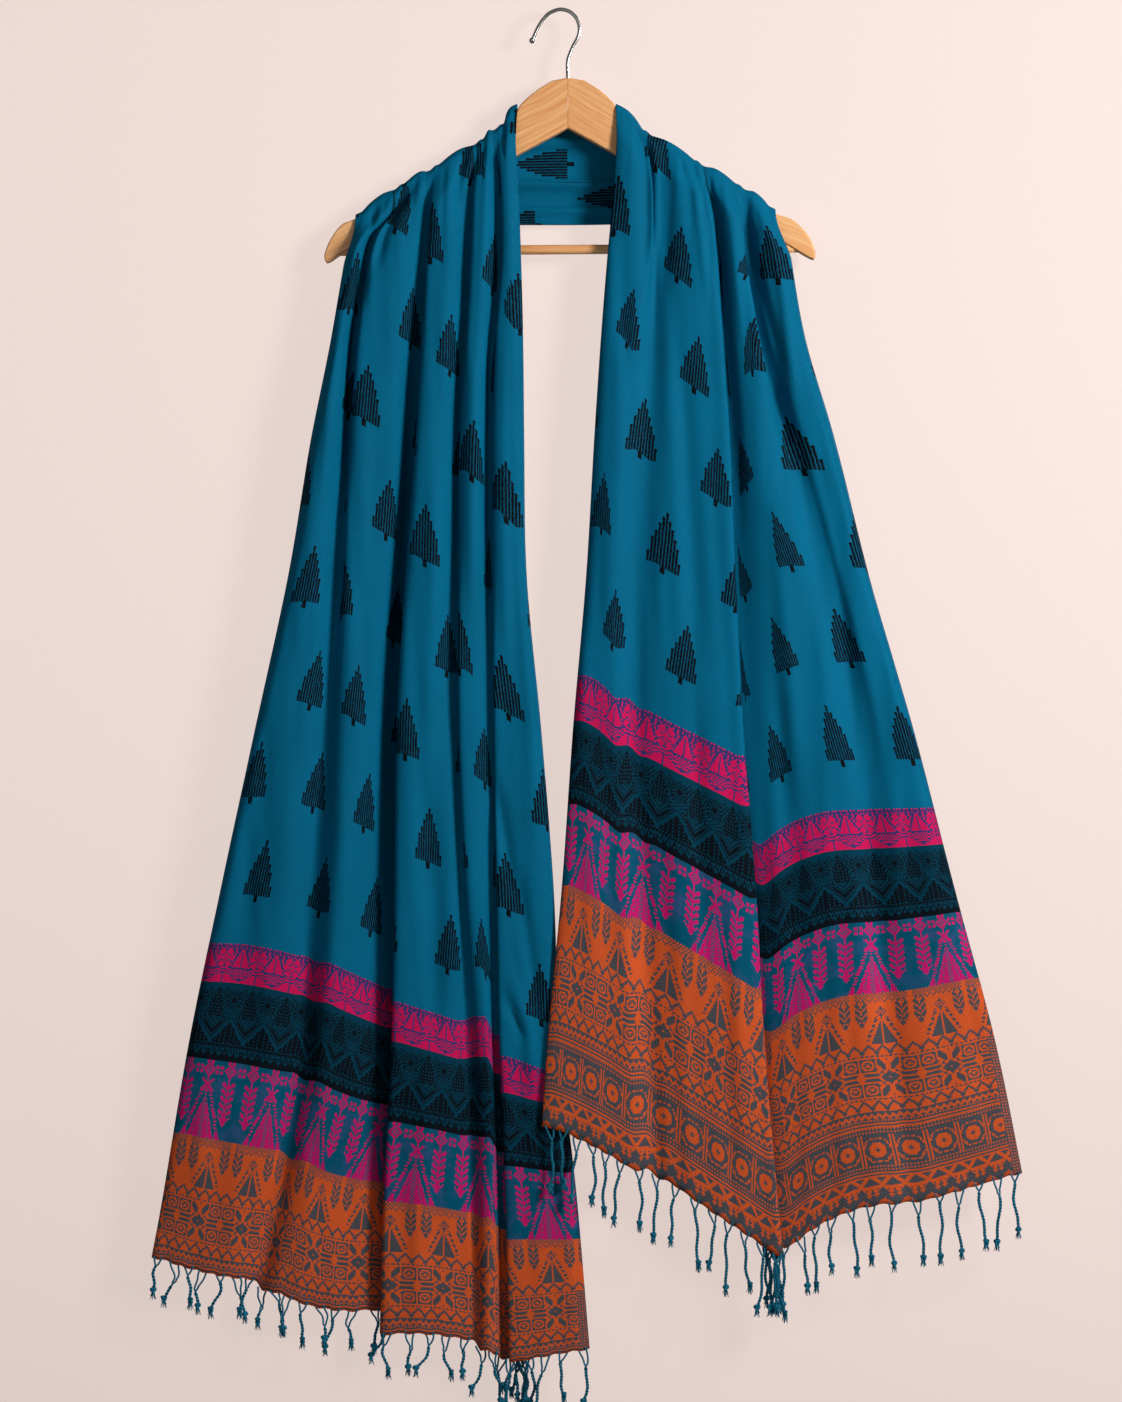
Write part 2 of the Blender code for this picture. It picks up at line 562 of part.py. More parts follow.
def hem_place(lines, n):
    """Where tassel n leaves the hem, and the height there."""
    row = fall_points(lines, (3.0,), SEAM_GAP + STRIP_DROP / 2)[0]
    cut_at = np.array([float(np.mean(line["cut"](line["hem"]))) for line in lines])
    cut_at = np.maximum.accumulate(cut_at + np.arange(len(cut_at)) * 1e-6)
    want = (n + 0.5) * CLOTH_WIDTH / TASSELS
    want = min(max(want, cut_at[0] + 2.5), cut_at[-1] - 2.5)
    return np.array([np.interp(want, cut_at, row[:, k]) for k in range(3)])


def strand(n, root, base, spread):
    """Centre line and radii of one twisted cord: root, body, knot and open end."""
    length = base * (1.0 + 0.13 * math.sin(2.1 * n + 0.4) + 0.08 * math.sin(5.3 * n + 1.0))
    lean = spread * (0.6 * math.sin(1.3 * n + 0.9) + 0.4 * math.sin(3.1 * n))
    bow = spread * 0.5 * math.sin(1.9 * n + 2.0)
    back = 2.2 * math.sin(2.7 * n)
    centres, radii = [], []
    for t, r in ((0.0, 1.0), (0.3, 1.0), (0.62, 0.95), (0.8, 1.0), (0.86, KNOT_RADIUS / STRAND_RADIUS),
                 (0.93, 1.15), (1.0, 0.8)):
        centres.append((root[0] + lean * t * t + bow * math.sin(math.pi * t),
                        root[1] + back * t * t,
                        root[2] - length * t))
        radii.append(STRAND_RADIUS * r)
    return centres, radii


def fringe(name, lines, base, spread, flip):
    top = fall_points(lines, (3.0,), SEAM_GAP)
    low = fall_points(lines, (3.0,), SEAM_GAP + STRIP_DROP)
    strip = shell(name, np.concatenate([top, low], axis=0), STRIP_WALL, flip)
    verts, faces = [], []
    for n in range(TASSELS):
        centres, radii = strand(n, hem_place(lines, n), base, spread)
        v, f = tube_mesh(centres, radii, 4, math.pi / 4)
        start = len(verts)
        verts += [tuple(np.asarray(p) * MM) for p in v]
        faces += [tuple(start + k for k in face) for face in f]
    cords = build(name + "_cords", verts, faces)
    cords.hide_render = True
    cords.display_type = "WIRE"
    join = strip.modifiers.new("join", "BOOLEAN")
    join.operation = "UNION"
    join.solver = "EXACT"
    join.object = cords
    colour(strip, (0.0, 0.08, 0.13), 0.8)
    return strip


fringe_left = fringe("fringe_left", left_lines, 52.0, 5.0, False)
fringe_right = fringe("fringe_right", right_lines, 62.0, 5.0, True)
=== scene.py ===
import bpy
import math
import numpy as np
from functools import partialmethod
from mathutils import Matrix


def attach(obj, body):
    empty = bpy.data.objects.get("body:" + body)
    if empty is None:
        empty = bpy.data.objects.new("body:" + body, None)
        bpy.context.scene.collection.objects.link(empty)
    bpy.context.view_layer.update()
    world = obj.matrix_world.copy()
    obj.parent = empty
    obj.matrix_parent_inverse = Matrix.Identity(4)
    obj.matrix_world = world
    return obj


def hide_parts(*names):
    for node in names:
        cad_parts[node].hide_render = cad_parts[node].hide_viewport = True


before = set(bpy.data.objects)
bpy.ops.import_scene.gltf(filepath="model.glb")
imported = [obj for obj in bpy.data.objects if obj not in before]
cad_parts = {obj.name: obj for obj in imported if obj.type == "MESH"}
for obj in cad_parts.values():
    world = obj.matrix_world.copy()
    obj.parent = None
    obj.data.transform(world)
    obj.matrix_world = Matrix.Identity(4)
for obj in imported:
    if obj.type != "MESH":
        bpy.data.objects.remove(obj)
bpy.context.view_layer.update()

# Sizes are in millimetres unless a name says otherwise.
# The origin is the inside top of the hook's bend, +Z is up and the shawl faces -Y.
MM = 0.001
LEFT_SIDE = -1.0
RIGHT_SIDE = 1.0

CLOTH_WIDTH = 600.0
CLOTH_THICK = 1.0
WRAP_RADIUS = 6.5
WRAP_FLAT = 1.5
BEHIND = 8.0
WOOD_CLEAR = 7.2
HEM_DROP = 1.5
TASSELS = 35
TASSEL_PITCH = CLOTH_WIDTH / TASSELS
SCALLOP = 0.8
SCALLOP_FROM = 2.9

# How far below the shoulder a fall has taken its own shape and has opened forward,
# and between which depths below the origin it comes free of the trouser bar.
SHAPED_BY = 48.0
OPENING_DROP = 30.0
FREE_OF_BAR = (222.0, 330.0)

# Heights at which every fold row below is stated.
STATIONS = (-115, -160, -215, -290, -380, -500, -640, -780, -920, -1060, -1190)

# How far forward the crests of each fall stand, by height.
FRONT_LEFT = (-14, -18, -23, -27, -30, -32, -32, -30, -26, -22, -20)
FRONT_RIGHT = (-14, -18, -22, -26, -29, -30, -31, -32, -32, -30, -28)

# The fold edges, from the inner selvage outwards. A row that is left out is zero.
# x: the fold edge by height. cut_in and cut_out: cloth width used up before and after the fold.
# depth, lap and soft: how deep, how far tucked under and how rounded the fold is.
# ridge: x and z on the shoulder. band and hem: heights of the first band and of the hem,
# on the inner and on the outer side of the fold. sag: how far both rise between this fold
# and the one before it, where inner_lines lines run down the open cloth.
LEFT_FOLDS = (
    dict(  # inner
        x=(-41, -38, -36, -34, -33, -31, -18, -7, -1, 14, 25),
        depth=(2, 3, 5, 6, 7, 8, 8, 8, 8, 6, 5),
        ridge=(-39, -83), band=(-945, -945), hem=(-1190, -1190)),
    dict(  # first
        x=(-56, -53, -52, -57, -60, -60, -59, -57, -54, -49, -46),
        cut_in=(17, 16, 18, 25, 29, 30, 44, 54, 58, 70, 78),
        cut_out=(208, 204, 203, 203, 202, 201, 200, 201, 204, 203, 202),
        depth=(4, 6, 9, 9, 8, 7, 7, 8, 9, 10, 11),
        lap=(2, 3, 4, 5, 5, 5, 6, 7, 8, 11, 13),
        ridge=(-56, -103.5), band=(-930, -911), hem=(-1200, -1200), inner_lines=1),
    dict(  # second
        x=(-73, -77, -79, -83, -89, -90, -90, -86, -79, -75, -74),
        cut_in=(226, 230, 231, 231, 232, 233, 234, 233, 230, 231, 232),
        cut_out=(302, 303, 302, 302, 302, 298, 293, 284, 265, 246, 244),
        depth=(4, 7, 10, 11, 11, 11, 10, 9, 8, 8, 8),
        lap=(2, 2, 3, 3, 3, 3, 3, 1, 0, 0, 0),
        soft=(0, 0, 0, 0, 0, 0, 0, 0.3, 0.7, 0.6, 0.5),
        ridge=(-74, -117), band=(-895, -899), hem=(-1191, -1182), inner_lines=2),
    dict(  # third
        x=(-113, -115, -118, -122, -128, -137, -145, -147, -150, -157, -161),
        cut_in=(344, 343, 344, 344, 344, 348, 352, 350, 343, 334, 336),
        cut_out=(456, 451, 443, 441, 440, 438, 427, 404, 376, 342, 344),
        depth=(4, 7, 11, 17, 22, 26, 28, 27, 22, 17, 14),
        lap=(2, 3, 4, 4, 5, 6, 7, 7, 6, 4, 3),
        ridge=(-114, -140), band=(-882, -872), hem=(-1176, -1157), sag=(0, 3), inner_lines=2),
    dict(  # fourth
        x=(-134, -145, -167, -179, -186, -194, -205, -217, -228, -252, -280),
        cut_in=(479, 483, 495, 501, 502, 500, 491, 485, 465, 446, 466),
        cut_out=(565, 561, 574, 575, 562, 547, 528, 507, 490, 489, 492),
        depth=(4, 7, 11, 14, 13, 12, 11, 10, 10, 10, 9),
        lap=(2, 3, 5, 5, 4, 2, 0, 0, 0, 0, 0),
        soft=(0, 0, 0, 0, 0, 0.3, 0.7, 1, 1, 1, 1),
        ridge=(-145, -157), band=(-847, -841), hem=(-1139, -1128), sag=(0, -6), inner_lines=3),
    dict(  # outer
        x=(-173, -181, -190.5, -203, -221, -241, -271, -301, -330, -354, -378),
        cut_in=(CLOTH_WIDTH,) * 11,
        depth=(2, 4, 8, 12, 14, 15, 13, 10, 6, 4, 3),
        ridge=(-183, -182), band=(-830, -830), hem=(-1109, -1109), sag=(3, -2), inner_lines=3),
)

RIGHT_FOLDS = (
    dict(  # inner
        x=(50, 47, 42, 36, 30, 23, 11, 1, -12, -21, -32),
        depth=(2, 3, 4, 5, 6, 7, 6, 3, 2, 2, 2),
        ridge=(49, -83), band=(-593, -593), hem=(-991, -991)),
    dict(  # first
        x=(78, 81, 82, 78, 73, 67, 64, 71, 77, 83, 88),
        cut_in=(29, 36, 43, 50, 56, 60, 72, 93, 110, 124, 139),
        cut_out=(35, 42, 47, 56, 64, 70, 84, 103, 118, 132, 147),
        depth=(4, 6, 8, 6, 5, 5, 6, 7, 7, 7, 7), lap=(2, 2, 1, 0, 0, 0, 0, 0, 0, 0, 0),
        soft=(0, 0, 0.2, 0.7, 1, 1, 0.9, 1, 1, 1, 1),
        ridge=(78, -109), band=(-613, -624), hem=(-1029, -1040), sag=(3, 3), inner_lines=3),
    dict(  # pleat
        x=(116, 131, 138, 143, 149, 154, 161, 172, 180, 192, 205),
        cut_in=(76, 95, 107, 120, 135, 150, 178, 205, 224, 247, 270),
        cut_out=(430, 440, 465, 498, 493, 464, 423, 403, 402, 394, 388),
        depth=(4, 7, 10, 11, 13, 12, 12, 14, 15, 13, 11),
        lap=(2, 3, 5, 5, 6, 6, 7, 8, 9, 12, 14),
        ridge=(124, -136), band=(-664, -743), hem=(-1104, -1099), inner_lines=3),
    dict(  # third
        x=(150, 157, 163, 175, 198, 228, 260, 276, 292, 305, 317),
        cut_in=(465, 473, 503, 555, 566, 554, 534, 508, 510, 496, 489),
        cut_out=(567, 567, 566, 577, 571, 561, 546, 512, 517, 499, 491),
        depth=(4, 7, 11, 13, 9, 6, 5, 5, 4, 3, 3),
        lap=(2, 3, 4, 4, 2, 0, 0, 0, 0, 0, 0),
        soft=(0, 0, 0, 0, 0.5, 1, 1, 1, 1, 1, 1),
        ridge=(161, -157), band=(-712, -711), hem=(-1059, -1057), sag=(8, 8), inner_lines=3),
    dict(  # outer
        x=(184, 194, 203, 216, 242, 272, 312, 348, 385, 413, 438),
        cut_in=(CLOTH_WIDTH,) * 11,
        depth=(2, 4, 8, 12, 14, 14, 12, 10, 8, 6, 5),
        ridge=(191, -177), band=(-710, -710), hem=(-1033, -1033), inner_lines=3),
)

# Offsets outwards from a fold edge, and share of the fold depth, for the seven lines of a fold.
SHARP_OFFSET = (-5.0, -1.2, 0.0, -1.2, 0.0, 0.0, 6.0)
SHARP_LAP = (0.0, 0.0, 0.0, -0.35, -1.0, -0.55, 0.0)
SHARP_SHIFT = (0.0, 0.0, 0.0, 0.0, -0.6, 1.4, 0.0)
SHARP_DEEP = (0.0, 0.05, 0.22, 0.42, 0.66, 1.0, 0.82)
SOFT_OFFSET = (-17.0, -11.0, -6.5, -2.5, 1.5, 6.0, 13.0)
SOFT_DEEP = (0.03, 0.26, 0.58, 0.86, 0.99, 0.96, 0.66)
# The same lines on the shoulder, outwards and down, and their share of the cloth that the fold uses up.
RIDGE_OFFSET = (-5.0, -3.0, -1.2, 0.4, 2.0, 3.6, 5.8)
RIDGE_TUCK = (0.0, 0.6, 0.5, -0.3, -0.8, -0.8, -0.2)
CUT_SHARE = (0.0, 0.0, 0.0, 0.14, 0.42, 0.76, 1.0)
# Lines by the first and the last selvage: offset from it and share of the depth.
FIRST_LINES = ((0.0, 1.0), (2.5, 0.45), (7.0, 0.08))
LAST_LINES = ((7.0, 0.12), (2.5, 0.5), (0.0, 1.0))
# How far the open cloth keeps from a selvage line, behind and before a fold, and how much more where
# the fold is soft.
BY_SELVAGE = 7.0
BEHIND_FOLD = 6.0
BEFORE_FOLD = 5.0
BEHIND_SOFT = 7.0
BEFORE_SOFT = 12.0
RIDGE_SWELL = 2.6
SHOULDER_FALL = 0.55

# Creases laid on each fall: the path in x and z from the top, its width, and how far
# it stands forward, or back where the number is negative.
LEFT_CREASES = (
    (((-84, -122), (-88, -138), (-92, -156), (-93, -178)), 3.6, -4.5),
    (((-48, -92), (-47, -130), (-46, -180), (-45, -240)), 5.0, 1.4),
    (((-64, -112), (-66, -150), (-68, -200), (-70, -250)), 3.6, 2.0),
    (((-80, -118), (-83, -150), (-86, -200)), 3.4, 1.6),
    (((-98, -130), (-101, -180), (-103, -250), (-104, -330)), 6.0, 2.0),
    (((-108, -136), (-109, -170), (-111, -220)), 3.4, 1.2),
    (((-130, -150), (-139, -163), (-148, -182), (-158, -205), (-163, -228)), 5.0, -5.5),
    (((-142, -154), (-151, -172), (-161, -196), (-170, -225)), 4.0, 3.0),
    (((-122, -146), (-127, -190), (-132, -240)), 4.4, 1.6),
    (((-166, -176), (-171, -215), (-175, -262)), 3.6, -4.5),
    (((-176, -180), (-182, -215), (-190, -262)), 3.6, 2.0),
    (((-186, -260), (-188, -330), (-190, -420)), 4.5, -5.0),
    (((-197, -250), (-202, -330), (-212, -450)), 6.0, 3.0),
    (((-133, -300), (-137, -420), (-146, -560)), 6.5, -4.0),
    (((-88, -300), (-90, -400), (-92, -500)), 5.0, -4.5),
    (((-77, -320), (-77, -400), (-78, -520)), 4.5, 3.6),
    (((-64, -300), (-64, -400), (-64, -540)), 4.0, -6.0),
    (((-50, -300), (-50, -420), (-48, -560)), 6.0, 2.6),
    (((-108, -420), (-112, -520), (-114, -640)), 9.0, 3.0),
    (((-160, -380), (-168, -500), (-178, -620)), 10.0, -3.2),
    (((-205, -330), (-222, -470), (-238, -600)), 9.0, 2.8),
    (((-57, -690), (-46, -760), (-36, -810)), 5.0, -3.4),
    (((-50, -879), (-38, -900), (-31, -918)), 3.5, -3.2),
    (((-44, -860), (-30, -905), (-24, -950)), 4.5, 2.8),
    (((-36, -770), (-28, -840), (-18, -900)), 4.5, -3.0),
    (((-118, -700), (-112, -800), (-110, -900)), 9.0, -3.4),
    (((-100, -640), (-96, -760), (-98, -880)), 8.0, 2.8),
    (((-190, -700), (-196, -800), (-206, -900)), 11.0, 3.0),
    (((-262, -640), (-276, -760), (-290, -880)), 12.0, -3.2),
    (((-118, -930), (-122, -1030), (-126, -1150)), 10.0, 3.0),
    (((-218, -900), (-228, -1000), (-240, -1100)), 11.0, -3.0),
    (((-300, -900), (-318, -1000), (-330, -1090)), 12.0, 2.8),
)
RIGHT_CREASES = (
    (((70, -108), (76, -140), (76, -190), (74, -235)), 5.0, -3.6),
    (((82, -112), (84, -145), (84, -190), (83, -225)), 3.2, 4.0),
    (((62, -100), (64, -140), (62, -200)), 6.0, 1.2),
    (((101, -126), (106, -160), (108, -210)), 5.0, 1.6),
    (((92, -122), (96, -160), (95, -205), (92, -240)), 4.0, -1.8),
    (((110, -131), (119, -160), (124, -200), (128, -250)), 4.0, 2.4),
    (((122, -138), (130, -165), (136, -200), (140, -240)), 2.4, 4.0),
    (((128, -146), (135, -180), (140, -220), (143, -262)), 3.6, -5.0),
    (((142, -150), (150, -180), (155, -220), (160, -290)), 4.4, 1.8),
    (((170, -164), (181, -190), (190, -220), (197, -262), (205, -330)), 4.6, 3.6),
    (((164, -180), (173, -225), (184, -270), (196, -320)), 3.4, -4.0),
    (((191, -340), (195, -385), (198, -430)), 7.0, -3.6),
    (((94, -280), (92, -340), (90, -430), (87, -520), (86, -620)), 7.0, 1.6),
    (((52, -300), (48, -420), (44, -560)), 10.0, 2.4),
    (((110, -330), (114, -440), (120, -560)), 9.0, -3.2),
    (((186, -430), (198, -560), (210, -700)), 10.0, 3.0),
    (((230, -400), (248, -520), (262, -640)), 9.0, -3.0),
    (((190, -600), (205, -720), (216, -860)), 9.0, -2.8),
    (((300, -620), (322, -740), (345, -860)), 12.0, 2.8),
    (((30, -700), (26, -820), (20, -940)), 12.0, 2.4),
    (((150, -760), (156, -880), (166, -1010)), 10.0, 3.0),
    (((120, -640), (124, -740), (130, -860)), 9.0, -2.6),
    (((270, -740), (286, -860), (300, -980)), 12.0, -2.8),
    (((352, -820), (372, -930), (388, -1020)), 10.0, -2.6),
)
# Faint kinks behind the neck, as paths in z and in -KINK_FROM - x.
KINK_FROM = 200.0
BACK_CREASES = (
    (((-150, -188), (-60, -150), (40, -139), (150, -178)), 4.0, 2.0),
    (((-120, -160), (-40, -127), (50, -118), (110, -150)), 3.5, -2.0),
    (((-90, -150), (-20, -146), (60, -154), (130, -170)), 3.0, 1.5),
)

# Share of the way from the first band's top to the hem at which the three bands and the orange border
# start, and the real heights of the three bands.
BAND_HEIGHTS = (35.0, 68.0, 65.0)
LEFT_SHARES = (0.0, 0.12, 0.36, 0.60)
RIGHT_SHARES = (0.0, 0.10, 0.285, 0.465)
# Rows of the mesh over the wood and down the plain ground, and how high a row is in the bands.
TURN_ROWS = 8
FIELD_ROWS = 128
ROW_STEP = 5.0
# The cloth counts as tucked into a fold where more than TUCKED_RATE of it lies on each millimetre,
# and elsewhere it is evened out over EVEN_REACH.
EVEN_REACH = 45.0
TUCKED_RATE = 3.0
TUCK_FADE = 1.4
TUCK_APART = 20
# The map for baking: the plain ground's share of its height, then the front, the back beside it and
# the rims in strips.
FIELD_SHARE = 0.45
BAKE_MARGIN = 0.008
FRONT_WIDE = 0.69
BACK_START = 0.712
BACK_WIDE = 0.26
BAKE_HIGH = 0.984
STRIP_START = 0.978
STRIP_STEP = 0.005
STRIP_WIDE = 0.003


def ease(t):
    t = np.clip(t, 0.0, 1.0)
    return t * t * (3.0 - 2.0 * t)


def between(start, end, t):
    return start + (end - start) * t


def hermite(t, run, start, end, start_slope, end_slope):
    """Smooth value between two values, with the slopes that are given at both."""
    turn = t * t * (3 - 2 * t)
    return between(start, end, turn) + run * t * (1 - t) * ((1 - t) * start_slope - t * end_slope)


def by_height(row, z):
    """Smooth value of a row at the heights z, going on straight below the last station."""
    down = -np.asarray(STATIONS, float)
    values = np.asarray(row, float)
    q = -np.asarray(z, float)
    step = np.diff(down)
    slope = np.gradient(values, down)
    k = np.clip(np.searchsorted(down, q) - 1, 0, len(step) - 1)
    t = np.clip((q - down[k]) / step[k], 0.0, 1.0)
    inside = hermite(t, step[k], values[k], values[k + 1], slope[k], slope[k + 1])
    return inside + np.maximum(q - down[-1], 0.0) * slope[-1]


def at(fold, row, z):
    """Value of one row of a fold at the heights z, 0 where the fold has no such row."""
    return by_height(fold[row], z) if row in fold else 0.0 * z


def deep_at(fold, z):
    """Depth of a fold, a little more than the solid's, and most of all near the shoulder."""
    return at(fold, "depth", z) * np.interp(-z, (115.0, 215.0, 400.0), (1.7, 1.45, 1.3))


def steep_at(z):
    """How sharply the cloth comes forward again beyond a fold: at once by the shoulder, slowly below."""
    return np.interp(-z, (200.0, 600.0, 900.0), (4.0, 2.3, 1.4))


def edge_lines(fold, side, front, towards, places):
    """Lines by a selvage. Towards is 1 where the cloth lies outwards of it and -1 where it lies inwards."""
    for offset, share in places:
        away = towards * offset

        def shape(z, away=away, share=share):
            y = by_height(front, z) + share * at(fold, "depth", z)
            return at(fold, "x", z) + side * away, y, at(fold, "cut_in", z) + away

        ridge = fold["ridge"][0] + side * away * 0.8, fold["ridge"][1] - away * 0.4
        yield shape, ridge, fold["band"][0], fold["hem"][0]


def open_lines(before, fold, side, front, opening, closing):
    """Lines of the open cloth between one fold and the next."""
    lead = BY_SELVAGE if opening else BEHIND_FOLD
    trail = BY_SELVAGE if closing else BEFORE_FOLD
    for step in range(1, fold["inner_lines"] + 1):
        t = step / (fold["inner_lines"] + 1.0)

        def shape(z, t=t):
            soft = at(before, "soft", z)
            start = at(before, "x", z) + side * (lead + BEHIND_SOFT * soft)
            end = at(fold, "x", z) - side * (trail + BEFORE_SOFT * at(fold, "soft", z))
            sunk = (0.08 if opening else 0.78 - 0.6 * soft) * deep_at(before, z) * (1.0 - t) ** steep_at(z)
            raised = 0.1 * at(fold, "depth", z) * t ** 2 if closing else 0.0
            cut_start = at(before, "cut_out", z) + (lead if opening else 0.0)
            cut_end = at(fold, "cut_in", z) - trail
            y = by_height(front, z) + sunk + raised
            return between(start, end, t), y, between(cut_start, cut_end, t)

        start_x = before["ridge"][0] + side * (BEHIND_FOLD if opening else RIDGE_OFFSET[-1])
        end_x = fold["ridge"][0] + side * RIDGE_OFFSET[0]
        ridge_z = between(before["ridge"][1], fold["ridge"][1], 0.1 + 0.8 * t)
        ridge = between(start_x, end_x, t), ridge_z + RIDGE_SWELL * math.sin(math.pi * t)
        sag_band, sag_hem = fold.get("sag", (0, 0))
        arch = 4.0 * t * (1.0 - t)
        band = between(before["band"][1], fold["band"][0], t) + sag_band * arch
        hem = between(before["hem"][1], fold["hem"][0], t) + sag_hem * arch
        yield shape, ridge, band, hem


def fold_lines(fold, side, front):
    """The seven lines round one fold edge."""
    for k, offset in enumerate(SHARP_OFFSET):

        def shape(z, k=k, offset=offset):
            soft = at(fold, "soft", z)
            start = at(fold, "cut_in", z)
            used = at(fold, "cut_out", z) - start
            sharp_x = offset + SHARP_LAP[k] * at(fold, "lap", z) + SHARP_SHIFT[k]
            sharp_cut = start + used * CUT_SHARE[k] + (offset if k < 2 else 0.0)
            soft_cut = start - BEFORE_FOLD + (used + BEFORE_FOLD + BEHIND_FOLD) * k / 6.0
            x = at(fold, "x", z) + side * between(sharp_x, SOFT_OFFSET[k], soft)
            y = by_height(front, z) + between(SHARP_DEEP[k], SOFT_DEEP[k], soft) * deep_at(fold, z)
            return x, y, between(sharp_cut, soft_cut, soft)

        over = RIDGE_OFFSET[k]
        ridge = fold["ridge"][0] + side * over, fold["ridge"][1] - over * SHOULDER_FALL + RIDGE_TUCK[k]
        turned = ease((k - 2) / 4.0)
        yield shape, ridge, between(*fold["band"], turned), between(*fold["hem"], turned)


def fall_lines(folds, side, front):
    """Every line down one fall: x, y and cut as a function of height, its ridge, first band and hem."""
    yield from edge_lines(folds[0], side, front, 1, FIRST_LINES)
    last = len(folds) - 1
    for index in range(1, last + 1):
        yield from open_lines(folds[index - 1], folds[index], side, front, index == 1, index == last)
        if index < last:
            yield from fold_lines(folds[index], side, front)
    yield from edge_lines(folds[last], side, front, -1, LAST_LINES)


def over_wood(share):
    """How far out and down the cloth has come at a share of its quarter turn over the wood."""
    angle = share * math.pi / 2
    return WRAP_FLAT * share + WRAP_RADIUS * np.sin(angle), WRAP_RADIUS * (1 - np.cos(angle))


def fall_points(lines, rows):
    """Points and cut of a fall. Rows run to 1 over the wood, to 2 at the first band and to 3 at the hem."""
    turn, body, bands = (np.clip(rows - k, 0, 1) for k in range(3))
    out, dropped = over_wood(turn)
    columns = []
    for shape, (ridge_x, ridge_z), band, hem in lines:
        z = ridge_z - dropped + (band - ridge_z + WRAP_RADIUS) * body + (hem - HEM_DROP - band) * bands
        fallen = ridge_z - z
        line_x, line_y, cut = shape(z)
        x = between(ridge_x, line_x, ease(fallen / SHAPED_BY))
        y = np.minimum(line_y, np.interp(-z, FREE_OF_BAR, (-BEHIND, BEHIND)))
        y = (y + BEHIND) * ease((fallen - WRAP_RADIUS) / OPENING_DROP) - out
        columns.append(np.stack([x, y, z, np.broadcast_to(cut, z.shape)], axis=1))
    grid = np.stack(columns, axis=1)
    return grid[..., :3], grid[..., 3]


def columns_between(points, values, spacing=2.6):
    """More columns on a smooth curve through the given ones. The values between them never overshoot."""
    before = 2 * points[:, :1] - points[:, 1:2]
    beyond = 2 * points[:, -1:] - points[:, -2:-1]
    p = np.concatenate([before, points, beyond], axis=1)
    chord = np.maximum(np.linalg.norm(np.diff(p, axis=1), axis=2), 0.02)
    knot = np.concatenate([np.zeros((len(p), 1)), np.cumsum(np.sqrt(chord), axis=1)], axis=1)
    slope = np.diff(values, axis=1) / chord[:, 1:-1]
    left, right = slope[:, :-1], slope[:, 1:]
    meet = np.where(left * right > 0, 2 * left * right / (left + right + 1e-12), 0)
    tangent = np.concatenate([slope[:, :1], meet, slope[:, -1:]], axis=1)
    out, out_values = [], []
    last = points.shape[1] - 1
    for j in range(last):
        run = chord[:, j + 1]
        pieces = int(np.clip(round(float(np.median(run)) / spacing), 2, 9))
        t0, t1, t2, t3 = (knot[:, j + k, None] for k in range(4))
        p0, p1, p2, p3 = (p[:, j + k] for k in range(4))
        for k in range(pieces + (j == last - 1)):
            t = between(t1, t2, k / pieces)

            def mix(a, b, start, end, t=t):
                return (a * (end - t) + b * (t - start)) / (end - start)

            ahead = mix(mix(p0, p1, t0, t1), mix(p1, p2, t1, t2), t0, t2)
            after = mix(mix(p1, p2, t1, t2), mix(p2, p3, t2, t3), t1, t3)
            out.append(mix(ahead, after, t1, t2))
            out_values.append(hermite(k / pieces, run, values[:, j], values[:, j + 1], tangent[:, j],
                                      tangent[:, j + 1]))
    return np.stack(out, axis=1), np.stack(out_values, axis=1)


def even_cut(points, cut):
    """Evens out how fast the cloth is used up along each row, but not where it is tucked into a fold."""
    step = np.maximum(np.linalg.norm(np.diff(points, axis=1), axis=2), 0.05)
    rate = np.diff(cut, axis=1) / step
    open_cloth = ease((TUCKED_RATE - rate) / TUCK_FADE)
    place = np.cumsum(step * (1 + TUCK_APART * (1 - open_cloth)), axis=1)
    apart = (place[:, :, None] - place[:, None, :]) / EVEN_REACH
    weight = np.exp(-apart ** 2) * (step * open_cloth)[:, None]
    near = (weight * rate[:, None]).sum(axis=2) / np.maximum(weight.sum(axis=2), 1e-6)
    rate = between(rate, near, open_cloth)
    lost = cut[:, -1] - cut[:, 0] - (rate * step).sum(axis=1)
    rate += open_cloth * (lost / (open_cloth * step).sum(axis=1))[:, None]
    return np.concatenate([cut[:, :1], cut[:, :1] + np.cumsum(rate * step, axis=1)], axis=1)


def crease_push(x, z, creases):
    """How far the creases move the cloth forward at each point. They fade in and out at their ends."""
    push = np.zeros_like(x)
    for path, width, height in creases:
        xs, zs = np.array(path, float).T
        run = zs[0] - zs[-1]
        centre = np.interp(-z, -zs, xs)
        fade_in = ease((zs[0] - z + 0.15 * run) / (0.3 * run))
        fade_out = ease((z - zs[-1] + 0.2 * run) / (0.45 * run))
        push += height * fade_in * fade_out * np.exp(-((x - centre) / width) ** 2)
    return push


def ripple(x, z, fallen):
    """Small uneven waves of a soft cloth: fine gathers under the shoulder and slow ones below."""
    gathers = 0.5 + 0.5 * np.sin(0.74 * x + 1.3 * np.sin(0.021 * z) + 0.6 * np.sin(0.19 * x))
    slow = 0.42 * np.sin(0.235 * x + 0.006 * z + 1.1 * np.sin(0.011 * z + 0.04 * x))
    slow += 0.3 * np.sin(0.121 * x - 0.013 * z + 2.0)
    slow += 0.16 * np.sin(0.41 * x + 0.019 * z + 0.7 * np.sin(0.023 * z))
    return 0.7 * gathers * np.exp(-fallen / 60.0) + slow * ease(fallen / 90.0)


